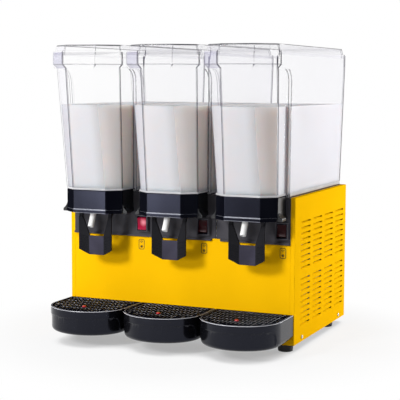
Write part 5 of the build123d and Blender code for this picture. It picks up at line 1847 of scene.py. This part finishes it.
@dataclass(frozen=True)
class Lamp:
    """A square lamp."""

    name: str
    place: Triple
    size: float
    power: float

    def hang(self, target: Triple) -> None:
        """Hang the lamp so that it looks at a place.

        Args:
            target: The place.
        """
        data = bpy.data.lights.new(self.name, "AREA")
        data.size = self.size
        data.energy = self.power
        lamp = bpy.data.objects.new(self.name, data)
        bpy.context.scene.collection.objects.link(lamp)
        lamp.location = self.place
        sight = Vector(target) - Vector(self.place)
        lamp.rotation_euler = sight.to_track_quat("-Z", "Y").to_euler()


@dataclass
class Studio:
    """White floor and surround, soft lamps, and the camera at the photograph's angle.

    The key and a low soft box stand at the left front, a fill behind on the right, and a small
    lamp hangs above the left front.
    """

    lamps: tuple[Lamp, ...] = (
        Lamp("key", (-2.03, -4.84, 2.87), 1.2, 222.0),
        Lamp("front", (-1.0, -2.05, 0.28), 0.5, 12.0),
        Lamp("fill", (1.9, 1.9, 0.6), 1.1, 62.0),
        Lamp("top", (-0.9, -0.8, 2.1), 0.5, 14.0),
    )
    lamp_target: Triple = (0.0, 0.0, 0.3)
    surround: float = 0.22
    floor_size: float = 14.0
    floor_colour: Colour = (0.7, 0.7, 0.71)
    floor_white: float = 0.86
    floor_span: Span = (0.35, 0.6)
    shadow_reach: float = 0.06
    shadow_white: float = 0.45
    shadow_span: Span = (0.25, 0.65)
    camera_place: Triple = (1.0732, -2.46555, 0.5808)
    yaw: float = 23.45
    pitch: float = 5.77
    roll: float = 0.26
    focal: float = 1175.8
    frame_width: float = 400.0
    sensor: float = 36.0
    clear_walls: int = 48

    def build(self) -> None:
        """Set up the floor, the lamps, the world and the camera."""
        self.lay_floor()
        for lamp in self.lamps:
            lamp.hang(self.lamp_target)
        self.surround_world()
        self.aim()

    def lay_floor(self) -> None:
        """Lay the floor, white to the camera but for the object's soft shadow."""
        Bench.clear()
        bpy.ops.mesh.primitive_plane_add(size=self.floor_size)
        floor = Bench.named("studio_floor")
        paper = bpy.data.materials.new("studio_paper")
        paper.use_nodes = True
        kit = ShaderKit(paper.node_tree)
        seen = self.seen(kit)
        place = kit.value("ShaderNodeTexCoord", output="Object")
        away = kit.value("ShaderNodeVectorMath", {"operation": "LENGTH"}, {0: place}, "Value")
        white = kit.value("ShaderNodeEmission", inputs={"Color": WHITE, "Strength": 1.0})
        matt = kit.value("ShaderNodeBsdfDiffuse", inputs={"Color": self.floor_colour})
        reach = {"Distance": self.shadow_reach}
        sky = kit.value("ShaderNodeAmbientOcclusion", inputs=reach, output="AO")
        under = kit.span(sky, *self.shadow_span)
        under = self.shadow_white + (1.0 - self.shadow_white) * under
        round_it = kit.span(away, *self.floor_span)
        round_it = self.floor_white + (1.0 - self.floor_white) * round_it
        share = seen * under * round_it
        mixed = kit.value("ShaderNodeMixShader", inputs={0: share, 1: matt, 2: white})
        kit.node("ShaderNodeOutputMaterial", inputs={"Surface": mixed})
        floor.data.materials.append(paper)

    def seen(self, kit: ShaderKit) -> Value:
        """Tell rays of sight, gloss and clear plastic from the rays that light matt surfaces.


        Returns:
            1 for sight, 0 for light.
        """
        path = kit.node("ShaderNodeLightPath")
        sight, gloss, through = (
            Value(kit, path.outputs[name])
            for name in ("Is Camera Ray", "Is Glossy Ray", "Is Transmission Ray")
        )
        return sight + gloss + through

    def surround_world(self) -> None:
        """Make the surround white to sight and gloss, and a plain grey light to matt surfaces."""
        world = bpy.data.worlds.new("white_surround")
        bpy.context.scene.world = world
        world.use_nodes = True
        kit = ShaderKit(world.node_tree)
        plain, bright = (
            kit.value("ShaderNodeBackground", inputs={"Color": WHITE, "Strength": strength})
            for strength in (self.surround, 1.0)
        )
        mixed = kit.value("ShaderNodeMixShader", inputs={0: self.seen(kit), 1: plain, 2: bright})
        kit.node("ShaderNodeOutputWorld", inputs={"Surface": mixed})

    def aim(self) -> None:
        """Put the camera where the photograph was taken."""
        yaw, pitch, roll = (math.radians(angle) for angle in (self.yaw, self.pitch, self.roll))
        level = Vector((math.cos(yaw), math.sin(yaw), 0.0))
        depth = math.cos(pitch)
        ahead = Vector((-math.sin(yaw) * depth, math.cos(yaw) * depth, -math.sin(pitch)))
        upward = level.cross(ahead)
        right = level * math.cos(roll) + upward * math.sin(roll)
        up = upward * math.cos(roll) - level * math.sin(roll)
        data = bpy.data.cameras.new("photo_camera")
        data.sensor_width = self.sensor
        data.lens = self.sensor * self.focal / self.frame_width
        camera = bpy.data.objects.new("photo_camera", data)
        bpy.context.scene.collection.objects.link(camera)
        turn = Matrix((right, up, -ahead)).transposed().to_4x4()
        camera.matrix_world = Matrix.Translation(self.camera_place) @ turn
        bpy.context.scene.camera = camera

    def dress(self) -> None:
        """Show colours as they are written, and let sight pass through nested clear walls."""
        bpy.context.scene.view_settings.view_transform = "Standard"
        bpy.context.scene.cycles.transparent_max_bounces = self.clear_walls


def main() -> None:
    """Build every sub-assembly in order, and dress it."""
    logging.basicConfig(level=logging.INFO, format="%(name)s: %(message)s")
    assemblies = [Casing(), Fascia()]
    for side in Side:
        assemblies += [BowlSet(side), TapSet(side), DripSet(side)]
    assemblies += [Machinery(), Studio()]
    for assembly in assemblies:
        assembly.build()
        assembly.dress()
        LOG.info("%s is done", type(assembly).__name__)


if __name__ == "__main__":
    main()
